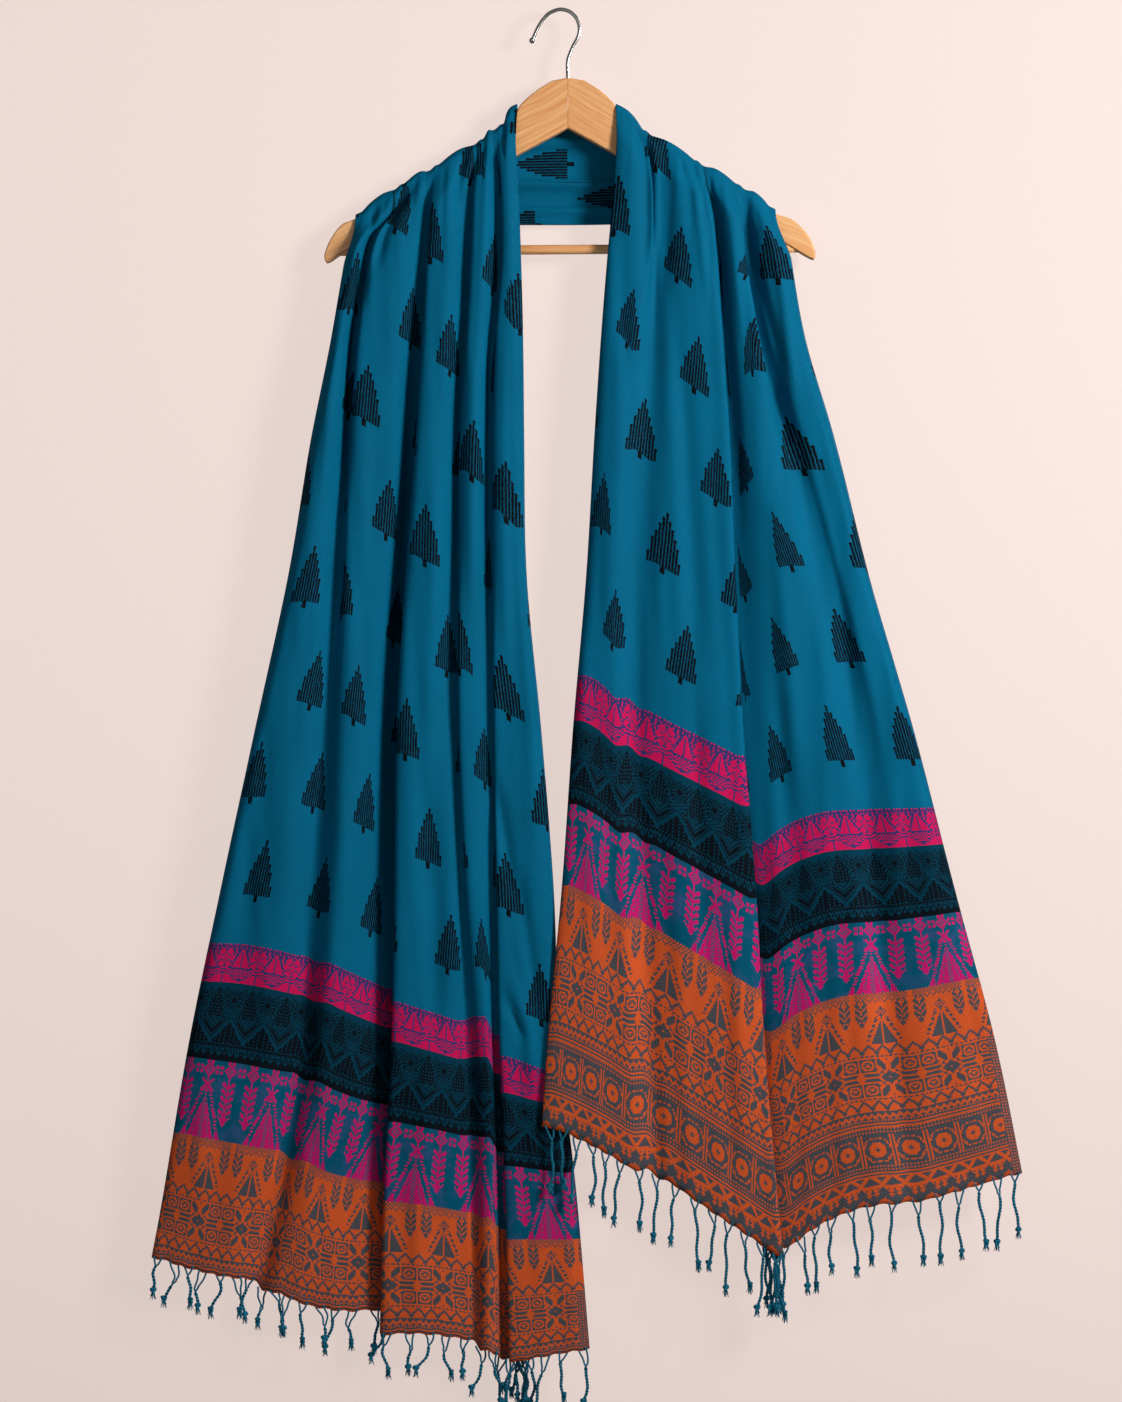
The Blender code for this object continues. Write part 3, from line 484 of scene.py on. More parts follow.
def row_places(shares, heights):
    """Row positions down a fall, with a row at the edge of every band, and the real height at each."""
    rows = [np.linspace(0, 1, TURN_ROWS), 1 + np.linspace(0, 1, FIELD_ROWS)[1:] ** 1.12]
    real = [np.zeros(len(rows[0]) + len(rows[1]))]
    edges = []
    for k in range(len(shares) - 1):
        count = max(1, int(round((heights[k + 1] - heights[k]) / ROW_STEP)))
        t = np.arange(1, count + 1) / count
        edges.append(sum(len(r) for r in rows) - 1)
        rows.append(2 + between(shares[k], shares[k + 1], t))
        real.append(between(heights[k], heights[k + 1], t))
    return np.concatenate(rows), np.concatenate(real), edges


def bands_of(shares, orange_rows):
    """Names, shares and heights of every woven band below the plain ground."""
    names = ["pink", "black", "magenta"] + [name for name, _ in orange_rows]
    done = np.cumsum([rows for _, rows in orange_rows])
    bands = np.concatenate([[0.0], np.cumsum(BAND_HEIGHTS)])
    all_shares = np.concatenate([shares, between(shares[3], 1, done / done[-1])])
    return names, all_shares, np.concatenate([bands, bands[3] + done * CELL])


def add_object(name, data):
    item = bpy.data.objects.new(name, data)
    bpy.context.scene.collection.objects.link(item)
    return item


def add_map(mesh, name, corners):
    layer = mesh.uv_layers.new(name=name)
    layer.data.foreach_set("uv", corners.astype(np.float32).reshape(-1))


def sheet_mesh(name, points, cloth_map, edge_distance, bake_rows, face_rows, materials):
    """A thin closed sheet round a grid of points, with its maps and a material for each row of faces."""
    normal = np.cross(np.gradient(points, axis=0), np.gradient(points, axis=1))
    normal /= np.maximum(np.linalg.norm(normal, axis=2, keepdims=True), 1e-9)
    rows, cols = points.shape[:2]
    both_faces = [points + normal * CLOTH_THICK / 2, points - normal * CLOTH_THICK / 2]
    verts = np.concatenate(both_faces).reshape(-1, 3) * MM
    total = rows * cols
    grid = np.arange(total).reshape(rows, cols)
    a, b, c, d = grid[:-1, :-1], grid[1:, :-1], grid[1:, 1:], grid[:-1, 1:]
    front = np.stack([a, b, c, d], axis=-1).reshape(-1, 4)
    back = np.stack([a, d, c, b], axis=-1).reshape(-1, 4)
    borders = [grid[0], grid[-1][::-1], grid[:, 0][::-1], grid[:, -1]]
    rims = [np.stack([e[:-1], e[1:], e[1:] + total, e[:-1] + total], axis=-1) for e in borders]
    faces = np.concatenate([front, back + total] + rims)
    mesh = bpy.data.meshes.new(name)
    mesh.from_pydata(verts.tolist(), [], faces.tolist())
    add_map(mesh, "cloth", cloth_map.reshape(-1, 2)[faces.reshape(-1) % total])

    width = np.linalg.norm(np.diff(points, axis=1), axis=2).mean(axis=0)
    bake_x = np.concatenate([[0], np.cumsum(width)]) / width.sum()
    bake = np.stack(np.broadcast_arrays(bake_x[None, :], bake_rows[:, None]), axis=-1).reshape(-1, 2)
    corners = [BAKE_MARGIN + bake[front] * (FRONT_WIDE, BAKE_HIGH),
               (BACK_START, BAKE_MARGIN) + bake[back] * (BACK_WIDE, BAKE_HIGH)]
    for k, rim in enumerate(rims):
        t = np.linspace(0.01, 0.99, len(rim) + 1)
        strip_y = np.stack([t[:-1], t[1:], t[1:], t[:-1]], axis=1)
        strip_x = STRIP_START + STRIP_STEP * k + np.array((0, 0, STRIP_WIDE, STRIP_WIDE))
        corners.append(np.stack(np.broadcast_arrays(strip_x, strip_y), axis=2))
    add_map(mesh, "OFBake", np.concatenate(corners))

    for material in materials:
        mesh.materials.append(material)
    of_row = face_rows.repeat(cols - 1)
    of_rims = [face_rows[:1].repeat(cols - 1), face_rows[-1:].repeat(cols - 1), face_rows[::-1], face_rows]
    used = np.concatenate([of_row, of_row] + of_rims)
    mesh.polygons.foreach_set("material_index", used.astype(np.int32))
    mesh.polygons.foreach_set("use_smooth", np.arange(len(faces)) < 2 * len(front))
    selvage = mesh.attributes.new("selvage", "FLOAT", "POINT")
    selvage.data.foreach_set("value", np.tile(edge_distance.reshape(-1), 2).astype(np.float32))
    mesh.update()
    return add_object(name, mesh)


def arc_lengths(points):
    """Length along each column of a grid of points, from its first row."""
    steps = np.linalg.norm(np.diff(points, axis=0), axis=2)
    return np.concatenate([np.zeros((1, points.shape[1])), np.cumsum(steps, axis=0)])


def cloth_fall(name, folds, side, front, creases, shares, orange_rows, tree_axis, materials):
    """One hanging end of the shawl, from the shoulder's ridge to the hem."""
    names, all_shares, heights = bands_of(shares, orange_rows)
    rows, real, edges = row_places(all_shares, heights)
    points, cut = columns_between(*fall_points(fall_lines(folds, side, front), rows))
    x, y, z = points[..., 0], points[..., 1], points[..., 2]
    fallen = points[:1, :, 2] - z
    push = (crease_push(x, z, creases) + ripple(x, z, fallen)) * ease((fallen - 2.0) / 12.0)
    clear_of_wood = np.interp(-z, FREE_OF_BAR, (-WOOD_CLEAR, 20.0))
    points[..., 1] = np.where(push > 0, y - push, np.minimum(y - push, np.maximum(clear_of_wood, y)))
    cut = even_cut(points, cut)
    pull = np.cos(2 * math.pi * (cut / TASSEL_PITCH - 0.5))
    points[..., 2] -= SCALLOP * pull * ease((rows[:, None] - SCALLOP_FROM) / (3 - SCALLOP_FROM))
    length = arc_lengths(points)
    top = edges[0]
    down = np.where(np.arange(len(rows))[:, None] <= top, length - length[top], real[:, None])
    cloth_map = np.stack([side * (tree_axis - cut), down], axis=-1)
    edge_distance = CLOTH_WIDTH - cut if side > 0 else cut
    bake = np.interp(rows, (0, 2, 3), (0, FIELD_SHARE, 1))
    face_rows = np.searchsorted(edges, np.arange(len(rows) - 1), side="right")
    used = [materials[n] for n in ["field"] + names]
    turn = slice(None, None, int(side))
    piece = sheet_mesh(name, points[:, turn], cloth_map[:, turn], edge_distance[:, turn], bake, face_rows,
                       used)
    hem_cut = np.maximum.accumulate(cut[-1] + np.arange(cut.shape[1]) * 1e-6)
    return dict(piece=piece, ridge=points[0], hem=points[-1], hem_cut=hem_cut)


# Middle line of the cloth behind the neck: share of the width from the neck selvage, height and depth.
BACK_MIDDLE_X = 7.0
BACK_ROWS = ((0.0, -86, 9.5), (0.08, -93, 12), (0.17, -106, 16), (0.27, -114, 11), (0.36, -122, 15.5),
             (0.47, -136, 17), (0.57, -147, 15), (0.63, -152, 11), (0.72, -161, 16), (0.82, -170.5, 16.5),
             (0.88, -176, 12.5), (0.95, -183, 15), (1.0, -189, 12.5))
# Where the two woven trees that show inside the neck lie: x and height of each centre,
# and the share of the width at which the cloth between them tucks in.
NECK_TREES = ((-16.0, -134.0), (43.0, -165.0))
NECK_TUCK = 0.63
# Share of the way to the middle at which the cloth has come over the wood.
BACK_TURN = 0.1
BACK_COLUMNS = 110


def place_on(ridge, share):
    """Point at a share of the way along a ridge."""
    length = arc_lengths(ridge[:, None])[:, 0]
    return [np.interp(share * length[-1], length, ridge[:, k]) for k in range(3)]


def back_neck(name, left_ridge, right_ridge, materials):
    """The stretch behind the hanger, from ridge to ridge."""
    rows = np.array(BACK_ROWS)[None]
    middle, share = columns_between(rows * (0, 1, 1), rows[..., 0], 1.2)
    _, middle_z, middle_y = middle[0].T
    share = share[0]
    turn_end = 1 - BACK_TURN
    over = np.linspace(turn_end, 1, TURN_ROWS)
    steps = np.concatenate([-over[::-1], np.linspace(-turn_end, turn_end, BACK_COLUMNS)[1:-1], over])
    away = 1 - np.abs(steps)
    out, dropped = over_wood(np.clip(away / BACK_TURN, 0, 1))
    t = np.clip((away - BACK_TURN) / turn_end, 0, 1)
    points = np.zeros((len(share), len(steps), 3))
    for i, where in enumerate(share):
        ends = np.where(steps[:, None] < 0, place_on(left_ridge, where), place_on(right_ridge, where))
        below = ends[:, 2] - WRAP_RADIUS
        points[i, :, 0] = between(ends[:, 0], BACK_MIDDLE_X, t)
        points[i, :, 1] = out + (middle_y[i] - BEHIND) * ease(t * 1.25)
        points[i, :, 2] = ends[:, 2] - dropped + (middle_z[i] - below) * ease(t ** 0.9)
    x, y, z = points[..., 0], points[..., 1], points[..., 2]
    push = crease_push(z, -x - KINK_FROM, BACK_CREASES) * ease(away * 4.0 - 0.4)
    points[..., 1] = np.maximum(y + push, np.minimum(y, BEHIND))
    down_middle = arc_lengths(middle.transpose(1, 0, 2))[:, 0]
    along = arc_lengths(points.transpose(1, 0, 2)).T
    half = len(steps) // 2
    tree_down = [np.interp(-tree_z, -middle_z, down_middle) for _, tree_z in NECK_TREES]
    lower = (share >= NECK_TUCK).astype(int)
    across = down_middle - np.array(tree_down)[lower]
    start = along[:, half] + np.array(NECK_TREES)[lower, 0] - points[:, half, 0]
    down = along - start[:, None] - TREE_START
    cloth_map = np.stack(np.broadcast_arrays(across[:, None], down), axis=-1)
    over_middle = down_middle > down_middle[-1] / 2
    edge = down_middle + over_middle * (CLOTH_WIDTH - down_middle[-1])
    edge_distance = np.broadcast_to(edge[:, None], along.shape)
    return sheet_mesh(name, points, cloth_map, edge_distance, share, np.zeros(len(share) - 1, int),
                      [materials["field"]])


def smooth_path(points, spacing):
    """Even curve through a few points."""
    path = np.asarray(points, float)[None]
    return columns_between(path, np.zeros(path.shape[:2]), spacing)[0][0]


def tube(centres, radii, sides):
    """Vertices and faces of a tube along a path, closed at both ends."""
    c = np.asarray(centres, float)
    heading = np.gradient(c, axis=0)
    heading /= np.linalg.norm(heading, axis=1, keepdims=True)
    across = np.zeros_like(c)
    side_dir = np.array((0.0, 1.0, 0.0)) if abs(heading[0, 1]) < 0.9 else np.array((1.0, 0.0, 0.0))
    for i, t in enumerate(heading):
        side_dir = side_dir - t * (side_dir @ t)
        side_dir = side_dir / np.linalg.norm(side_dir)
        across[i] = side_dir
    other = np.cross(heading, across)
    angle = 2 * math.pi * np.arange(sides) / sides
    ring = np.cos(angle)[None, :, None] * across[:, None] + np.sin(angle)[None, :, None] * other[:, None]
    verts = (c[:, None] + np.asarray(radii, float)[:, None, None] * ring).reshape(-1, 3)
    i, k = np.meshgrid(np.arange(len(c) - 1), np.arange(sides), indexing="ij")
    m = (k + 1) % sides
    walls = np.stack([i * sides + k, i * sides + m, (i + 1) * sides + m, (i + 1) * sides + k], axis=-1)
    first_end = list(range(sides - 1, -1, -1))
    last_end = [(len(c) - 1) * sides + k for k in range(sides)]
    return verts, walls.reshape(-1, 4).tolist() + [first_end, last_end]


def mesh_of(name, pieces, material, smooth=True):
    """One object from several pieces, each a list of vertices in millimetres and its faces."""
    verts, faces = [], []
    for piece_verts, piece_faces in pieces:
        start = len(verts)
        verts += (np.asarray(piece_verts) * MM).tolist()
        faces += [[start + k for k in face] for face in piece_faces]
    mesh = bpy.data.meshes.new(name)
    mesh.from_pydata(verts, [], faces)
    mesh.materials.append(material)
    mesh.polygons.foreach_set("use_smooth", np.full(len(faces), smooth))
    mesh.update()
    return add_object(name, mesh)


# Tassels are cords of two plies, knotted above a short brush.
PLY_POINTS = 60
PLY_RADIUS = 0.88
PLY_TURN_RADIUS = 0.74
PLY_PITCH = 5.6
ROOT_SPREAD = 3.6
ROOT_DEPTH = 9.5
ROOT_INSIDE = 3.0
KNOT_POINTS = 31
KNOT_SCALE = 0.78
KNOT_TUBE = 1.15
KNOT_HIGH = 1.15
KNOT_DEEP = 1.1
KNOT_ABOVE_BRUSH = 0.8
BRUSH_LENGTH = 7.5
BRUSH_STRANDS = 13
BRUSH_RADIUS = 0.42


def tassel(n, root, length, lean, bow, back, joined):
    """Two plies that join some way down, a knot and a brush, hanging from one place on the hem."""
    phase = 2.4 * n
    t = np.linspace(0, 1, PLY_POINTS)
    bend = 0.9 * np.sin(2 * math.pi * t * 1.6 + phase) * ease(t * 3)
    sideways = lean * t ** 1.6 + bow * np.sin(math.pi * t) + bend
    line = root + np.stack([sideways, back * t ** 2, -length * t], axis=1)
    drop = length * t
    apart = ROOT_SPREAD * (1 - ease(drop / joined))
    turn = phase + 2 * math.pi * np.maximum(drop - joined * 0.6, 0) / PLY_PITCH
    wind = PLY_TURN_RADIUS * ease((drop - joined * 0.3) / (joined * 0.7))
    offset = np.stack([apart + wind * np.cos(turn), wind * np.sin(turn), 0 * t], axis=1)
    pieces = [tube(line + ply * offset, np.full(PLY_POINTS, PLY_RADIUS), 5) for ply in (1.0, -1.0)]
    s = np.linspace(0, 2 * math.pi, KNOT_POINTS)
    knot_x = np.sin(s) + 2 * np.sin(2 * s)
    knot_y = -KNOT_DEEP * np.sin(3 * s)
    knot_z = KNOT_HIGH * (np.cos(s) - 2 * np.cos(2 * s))
    facing = 0.9 * math.sin(1.7 * n + phase)
    knot = np.stack([knot_x * math.cos(facing) - knot_y * math.sin(facing),
                     knot_x * math.sin(facing) + knot_y * math.cos(facing), knot_z], axis=1)
    pieces.append(tube(line[-1] + knot * KNOT_SCALE, np.full(KNOT_POINTS, KNOT_TUBE), 6))
    q = np.linspace(0, 1, 6)
    for k in range(BRUSH_STRANDS):
        a = phase + 2 * math.pi * k / BRUSH_STRANDS
        flare = 1.6 + 0.8 * math.sin(2.3 * k + n)
        curl = 0.6 * math.sin(1.9 * k + 2.7 * n)
        reach = BRUSH_LENGTH * (0.8 + 0.25 * math.sin(3.7 * k + 1.3 * n))
        strand = np.stack([math.cos(a) * (0.6 + flare * q) + curl * np.sin(3 * q) * q,
                           math.sin(a) * (0.6 + 0.8 * flare * q), -KNOT_ABOVE_BRUSH - reach * q], axis=1)
        pieces.append(tube(line[-1] + strand, BRUSH_RADIUS * (1.3 - 0.6 * q), 3))
    return pieces


def fringe(name, fall, lengths, leans, unruly, material):
    """Tassels at even spacing of the cloth's width along a hem, more or less unruly."""
    pieces = []
    known = range(0, TASSELS, 5)
    for n in range(TASSELS):
        root = [np.interp((n + 0.5) * TASSEL_PITCH, fall["hem_cut"], fall["hem"][:, k]) for k in range(3)]
        length = np.interp(n, known, lengths) * (1 + 0.1 * math.sin(2.9 * n + 1.0))
        lean = np.interp(n, known, leans) + unruly * 4.2 * math.sin(2.2 * n + 0.6)
        bow = unruly * 2.6 * math.sin(1.9 * n + 2.0)
        back = 4.0 * math.sin(2.7 * n)
        joined = ROOT_DEPTH * (1.0 + unruly * (0.6 + 0.6 * math.sin(3.1 * n + 0.4)))
        pieces += tassel(n, np.add(root, (0, 0, ROOT_INSIDE)), length, lean, bow, back, joined)
    return mesh_of(name, pieces, material)


# Length and lean of every fifth tassel, from the inner selvage outwards.
LEFT_LENGTHS = (44, 40, 35, 33, 32, 32, 32)
LEFT_LEANS = (-2, -4, 2, -3, -5, 1, -4)
LEFT_UNRULY = 1.7
RIGHT_LENGTHS = (50, 51, 53, 53, 49, 48, 55)
RIGHT_LEANS = (-1, -3, -1, 1, 3, 2, 3)
RIGHT_UNRULY = 1.0

# The hanger: outlines in x and z, from the top of the joint round the tip to the inner corner below.
WOOD_THICK = 12.0
WOOD_ROUND = 3.2
JOINT_X = 6.2
JOINT_GAP = 0.3
JOINT_TOP = -60.0
JOINT_BELOW = -105.0
WIRE_RADIUS = 1.7
WIRE_BALL = 2.8
BAR_RADIUS = 4.25
BAR_LINE = ((-198.0, 0, -214.2), (0, 0, -212.7), (211.5, 0, -211.1))
LEFT_GRAIN = 29.0
RIGHT_GRAIN = -28.0
ARM_LEFT = ((-8, -62.6), (-22, -71.5), (-36, -84), (-43, -97), (-52, -112), (-90, -133), (-138, -161.5),
            (-184, -186), (-195, -190.5), (-202, -198.5), (-208, -209), (-211, -219.5), (-209.5, -224.5),
            (-206.5, -224), (-190, -213), (-39, -129))
ARM_RIGHT = ((21, -62.6), (35, -71.5), (47.5, -83.5), (54, -98), (63, -109.5), (76, -118.5), (111, -138.5),
             (148, -160.5), (193, -182), (198, -183.3), (206, -186.5), (216, -195), (223, -205), (227, -216),
             (226, -221.5), (223, -221), (200, -208), (48, -128))
HOOK_PATH = ((6.2, 0, -76), (6.2, 0, -60), (6.2, 0, -44), (10, 0, -33), (15.5, 0, -22), (16.5, 0, -15),
             (14, 0, -6.5), (8, 0, -0.5), (-0.5, 0, 1.7), (-10, 0, -1.5), (-16, 0, -7.5), (-21, 0, -15.5),
             (-24.5, 0, -23.5))


def wooden_arm(name, outline, joint_x, material):
    """One arm of the hanger, rounded along every edge but the glued joint."""
    curve = smooth_path([(x, 0.0, z) for x, z in outline], 3.0)
    ring = [(joint_x, JOINT_TOP)] + [(x, z) for x, _, z in curve] + [(joint_x, JOINT_BELOW)]
    count = len(ring)
    verts = [(x, y, z) for y in (-WOOD_THICK / 2, WOOD_THICK / 2) for x, z in ring]
    faces = [list(range(count)), list(range(2 * count - 1, count - 1, -1))]
    faces += [[k, k + count, (k + 1) % count + count, (k + 1) % count] for k in range(count)]
    if joint_x < JOINT_X:
        faces = [face[::-1] for face in faces]
    arm = mesh_of(name, [(verts, faces)], material)
    arm.data.attributes.new("bevel_weight_edge", "FLOAT", "EDGE")
    arm.data.attributes.new("sharp_edge", "BOOLEAN", "EDGE")
    weight = arm.data.attributes["bevel_weight_edge"]
    sharp = arm.data.attributes["sharp_edge"]
    joint_verts = {0, count - 1, count, 2 * count - 1}
    for edge in arm.data.edges:
        a, b = edge.vertices
        same_face = (a < count) == (b < count)
        on_joint = a in joint_verts and b in joint_verts
        weight.data[edge.index].value = 1.0 if same_face and not on_joint else 0.0
        sharp.data[edge.index].value = on_joint
    rounding = arm.modifiers.new("rounding", "BEVEL")
    rounding.limit_method = "WEIGHT"
    rounding.width = WOOD_ROUND * MM
    rounding.segments = 5
    rounding.harden_normals = True
    return arm


def steel_hook(name, material):
    """The bent wire with a round ball at its end."""
    line = smooth_path(HOOK_PATH, 1.0)
    heading = line[-1] - line[-2]
    heading /= np.linalg.norm(heading)
    angles = np.radians(np.arange(38, 180, 10))
    ball = [line[-1] + heading * WIRE_BALL * (1 - math.cos(a)) for a in angles]
    radii = [WIRE_RADIUS] * len(line) + [WIRE_BALL * math.sin(a) for a in angles]
    return mesh_of(name, [tube(np.vstack([line, ball]), radii, 24)], material)


def trouser_bar(name, material):
    line = smooth_path(BAR_LINE, 8.0)
    return mesh_of(name, [tube(line, [BAR_RADIUS] * len(line), 32)], material)


def join(tree, item, socket):
    """Sets a socket to a number or a colour, or links a signal or another socket to it."""
    item = item.value if isinstance(item, Signal) else item
    if isinstance(item, bpy.types.NodeSocket):
        tree.links.new(item, socket)
    else:
        socket.default_value = item


def add_node(tree, kind, inputs=(), **settings):
    """A new shader node with its settings and its inputs, by number or by name."""
    node = tree.nodes.new("ShaderNode" + kind)
    for name, setting in settings.items():
        setattr(node, name, setting)
    for place, item in dict(inputs).items():
        join(tree, item, node.inputs[place])
    return node


class Signal:
    """A number inside a shader, so that a pattern can be written as a formula."""

    def __init__(self, tree, value):
        self.tree = tree
        self.value = value

    def apply(self, operation, *others):
        node = add_node(self.tree, "Math", enumerate((self,) + others), operation=operation)
        return Signal(self.tree, node.outputs[0])

    def clip(self):
        return Signal(self.tree, add_node(self.tree, "Clamp", {"Value": self}).outputs[0])

    def __rsub__(self, other):
        return Signal(self.tree, other) - self

    __add__ = __radd__ = partialmethod(apply, "ADD")
    __mul__ = __rmul__ = partialmethod(apply, "MULTIPLY")
    __sub__ = partialmethod(apply, "SUBTRACT")
    __truediv__ = partialmethod(apply, "DIVIDE")
    floor = partialmethod(apply, "FLOOR")
    wrap = partialmethod(apply, "FLOORED_MODULO")
    size = partialmethod(apply, "ABSOLUTE")
    below = partialmethod(apply, "LESS_THAN")
    above = partialmethod(apply, "GREATER_THAN")
    least = partialmethod(apply, "MINIMUM")
    most = partialmethod(apply, "MAXIMUM")


def linear(red, green, blue):
    """Shader colour from the usual 0 to 255 values."""
    parts = [c / 255 for c in (red, green, blue)]
    return [c / 12.92 if c <= 0.04045 else ((c + 0.055) / 1.055) ** 2.4 for c in parts] + [1.0]


def blend(tree, factor, first, second):
    """Colour between two colours."""
    return add_node(tree, "Mix", data_type="RGBA", inputs={0: factor, 6: first, 7: second}).outputs[2]


def noise(tree, parts, detail=2.0, rough=0.5):
    """Cloudy value about 0.5 at a place given by its parts, already scaled."""
    place = add_node(tree, "CombineXYZ", enumerate(parts)).outputs[0]
    cloud = add_node(tree, "TexNoise", {"Scale": 1.0, "Detail": detail, "Roughness": rough, "Vector": place})
    return Signal(tree, cloud.outputs["Fac"])


def scaled(tree, colour, factor):
    """A colour made lighter or darker."""
    return add_node(tree, "VectorMath", operation="SCALE", inputs={0: colour, "Scale": factor}).outputs[0]


def new_material(name, **inputs):
    """A material, its tree and its shader, with inputs given by name."""
    material = bpy.data.materials.new(name)
    material.use_nodes = True
    tree = material.node_tree
    shader = tree.nodes["Principled BSDF"]
    wear(tree, shader, **inputs)
    return material, tree, shader


def wear(tree, shader, **inputs):
    """Sets or links inputs of a shader, named with underscores in place of spaces."""
    for name, item in inputs.items():
        join(tree, item, shader.inputs[name.replace("_", " ")])


def add_bump(tree, shader, height, distance, strength):
    """Bumps of a distance in metres."""
    bump = add_node(tree, "Bump", {"Strength": strength, "Distance": distance, "Height": height})
    join(tree, bump.outputs["Normal"], shader.inputs["Normal"])


def parts_of(tree, place):
    """The three coordinates of a place."""
    split = add_node(tree, "SeparateXYZ", {0: place})
    return [Signal(tree, split.outputs[k]) for k in range(3)]


def object_place(tree):
    """Place on the object in metres, as x, y and z."""
    return parts_of(tree, add_node(tree, "TexCoord").outputs["Object"])


def cloth_place(tree):
    """Place on the cloth: across the width, down the length and from the stippled selvage."""
    across, down, _ = parts_of(tree, add_node(tree, "UVMap", uv_map="cloth").outputs[0])
    edge = add_node(tree, "Attribute", attribute_name="selvage")
    return across, down, Signal(tree, edge.outputs["Fac"])


SELVAGE_WIDTH = 8.0
SELVAGE_PITCH = 3.4
STIPPLED_WIDTH = 9.5
STIPPLE = 1.4
TREE_START = 66.0
TREE_ROW = 88.0
TREE_REPEAT = 67.5
TREE_SHIFT = 27.0
TREE_HALF_WIDTH = 14.2
TREE_FOOT = 21.8
TREE_TALL = 49.0
TREE_SLOPE = 5.6
TREE_CURVE = 0.25
SHOULDER_STEM = 4.5
SHOULDER_DROP = 4.5
UNEVEN_STEMS = 1.8
TRUNK_HALF = 2.0
TRUNK_LENGTH = 5.5
STEM_PITCH = 2.6
STEM_HALF = 0.8
STEM_END = 1.3
CELL = 1.406

TEAL = linear(0, 101, 138)
TEAL_DARK = linear(0, 54, 76)
INK = linear(7, 12, 17)
PINK = linear(204, 20, 88)
MAGENTA = linear(196, 22, 108)
VIOLET = linear(52, 54, 112)
TEAL_GREEN = linear(0, 84, 112)
HAZE_BLUE = linear(54, 80, 132)
DEEP_TEAL = linear(0, 58, 80)
NIGHT = linear(8, 17, 25)
ORANGE = linear(210, 88, 42)
SLATE = linear(72, 77, 84)


def finish_cloth(tree, shader, colour, across, down, edge):
    """Selvage ribs, uneven dye and the weave, shared by every part of the cloth."""
    rib = (down * (2 * math.pi / SELVAGE_PITCH)).apply("SINE")
    in_selvage = (edge - CLOTH_WIDTH / 2).size().above(CLOTH_WIDTH / 2 - SELVAGE_WIDTH)
    slub = noise(tree, (across * 0.35, down * 1.3), 2.0, 0.6)
    thread = noise(tree, (across * 0.7, down * 0.9), 2.0, 0.75)
    cloud = noise(tree, (across * 0.018, down * 0.012))
    tone = 0.2 + slub * 0.34 + thread * 0.95 + cloud * 0.32 - in_selvage * (rib * 0.025 + 0.03)
    add_bump(tree, shader, slub * 0.4 + thread * 0.5 - in_selvage * rib * 0.15, 0.0005, 0.6)
    wear(tree, shader, Base_Color=scaled(tree, colour, tone), Roughness=0.62 + slub * 0.25)
    wear(tree, shader, Specular_IOR_Level=0.06)


def field_material():
    """Plain teal ground with rows of small dark trees."""
    material, tree, shader = new_material("shawl_field")
    across, down, edge = cloth_place(tree)
    row = ((-TREE_START - down) / TREE_ROW + 0.5).floor()
    height = down + TREE_START + row * TREE_ROW
    shifted = across - row * TREE_SHIFT + TREE_REPEAT / 2
    wander = noise(tree, (across * 0.45, down * 0.3)) - 0.5
    place = shifted.wrap(TREE_REPEAT) - TREE_REPEAT / 2 + wander * 1.6
    repeat = (shifted / TREE_REPEAT).floor()
    stem = (place / STEM_PITCH + 0.5).floor()
    beside = place - stem * STEM_PITCH
    outwards = stem.size()
    uneven = ((stem * 12.99 + repeat * 7.23 + row * 3.71).apply("SINE") * 43.7).apply("FRACT")
    tall = TREE_TALL - outwards * TREE_SLOPE - outwards * outwards * TREE_CURVE
    tall = tall - outwards.above(SHOULDER_STEM) * SHOULDER_DROP - uneven * UNEVEN_STEMS
    above_foot = TREE_FOOT - height
    inside = place.size().below(TREE_HALF_WIDTH) * above_foot.above(0.0) * row.above(-0.5)
    line = beside.size().below(STEM_HALF) * above_foot.below(tall)
    from_end = above_foot - tall
    blob = (beside * beside + from_end * from_end).below(STEM_END * STEM_END)
    stems = (line + blob).least(1.0) * inside
    in_trunk = (above_foot + TRUNK_LENGTH / 2).size().below(TRUNK_LENGTH / 2 + 0.5)
    figure = stems.most(place.size().below(TRUNK_HALF) * in_trunk)
    lit = noise(tree, (across * 0.16, down * 0.1))
    shade = inside * above_foot.below(tall) * (0.9 - lit * 0.6)
    ground = blend(tree, shade.clip(), TEAL, TEAL_DARK)
    worn = noise(tree, (across * 0.8, down * 0.25))
    colour = blend(tree, (figure * (1.25 - worn * 0.5)).clip(), ground, INK)
    finish_cloth(tree, shader, colour, across, down, edge)
    return material


def charted(chart, across, down, axis, cell_wide, top, cell_high):
    """1 where a thread belongs to the figure. A chart is half a repeat, between two mirror axes."""
    last = chart.shape[1] - 1.0
    column = ((across - axis) / cell_wide + 0.5).floor().wrap(2.0 * last)
    column = last - (column - last).size()
    row = ((down - top) / cell_high).floor().most(0.0).least(chart.shape[0] - 1.0)
    code = Signal(row.tree, 0.0)
    for r, threads in enumerate(chart):
        number = float(sum(1 << c for c, thread in enumerate(threads) if thread))
        code = row.apply("COMPARE", float(r), 0.5).apply("MULTIPLY_ADD", number, code)
    weight = Signal(row.tree, 2.0).apply("POWER", column)
    return (code / weight).floor().wrap(2.0)


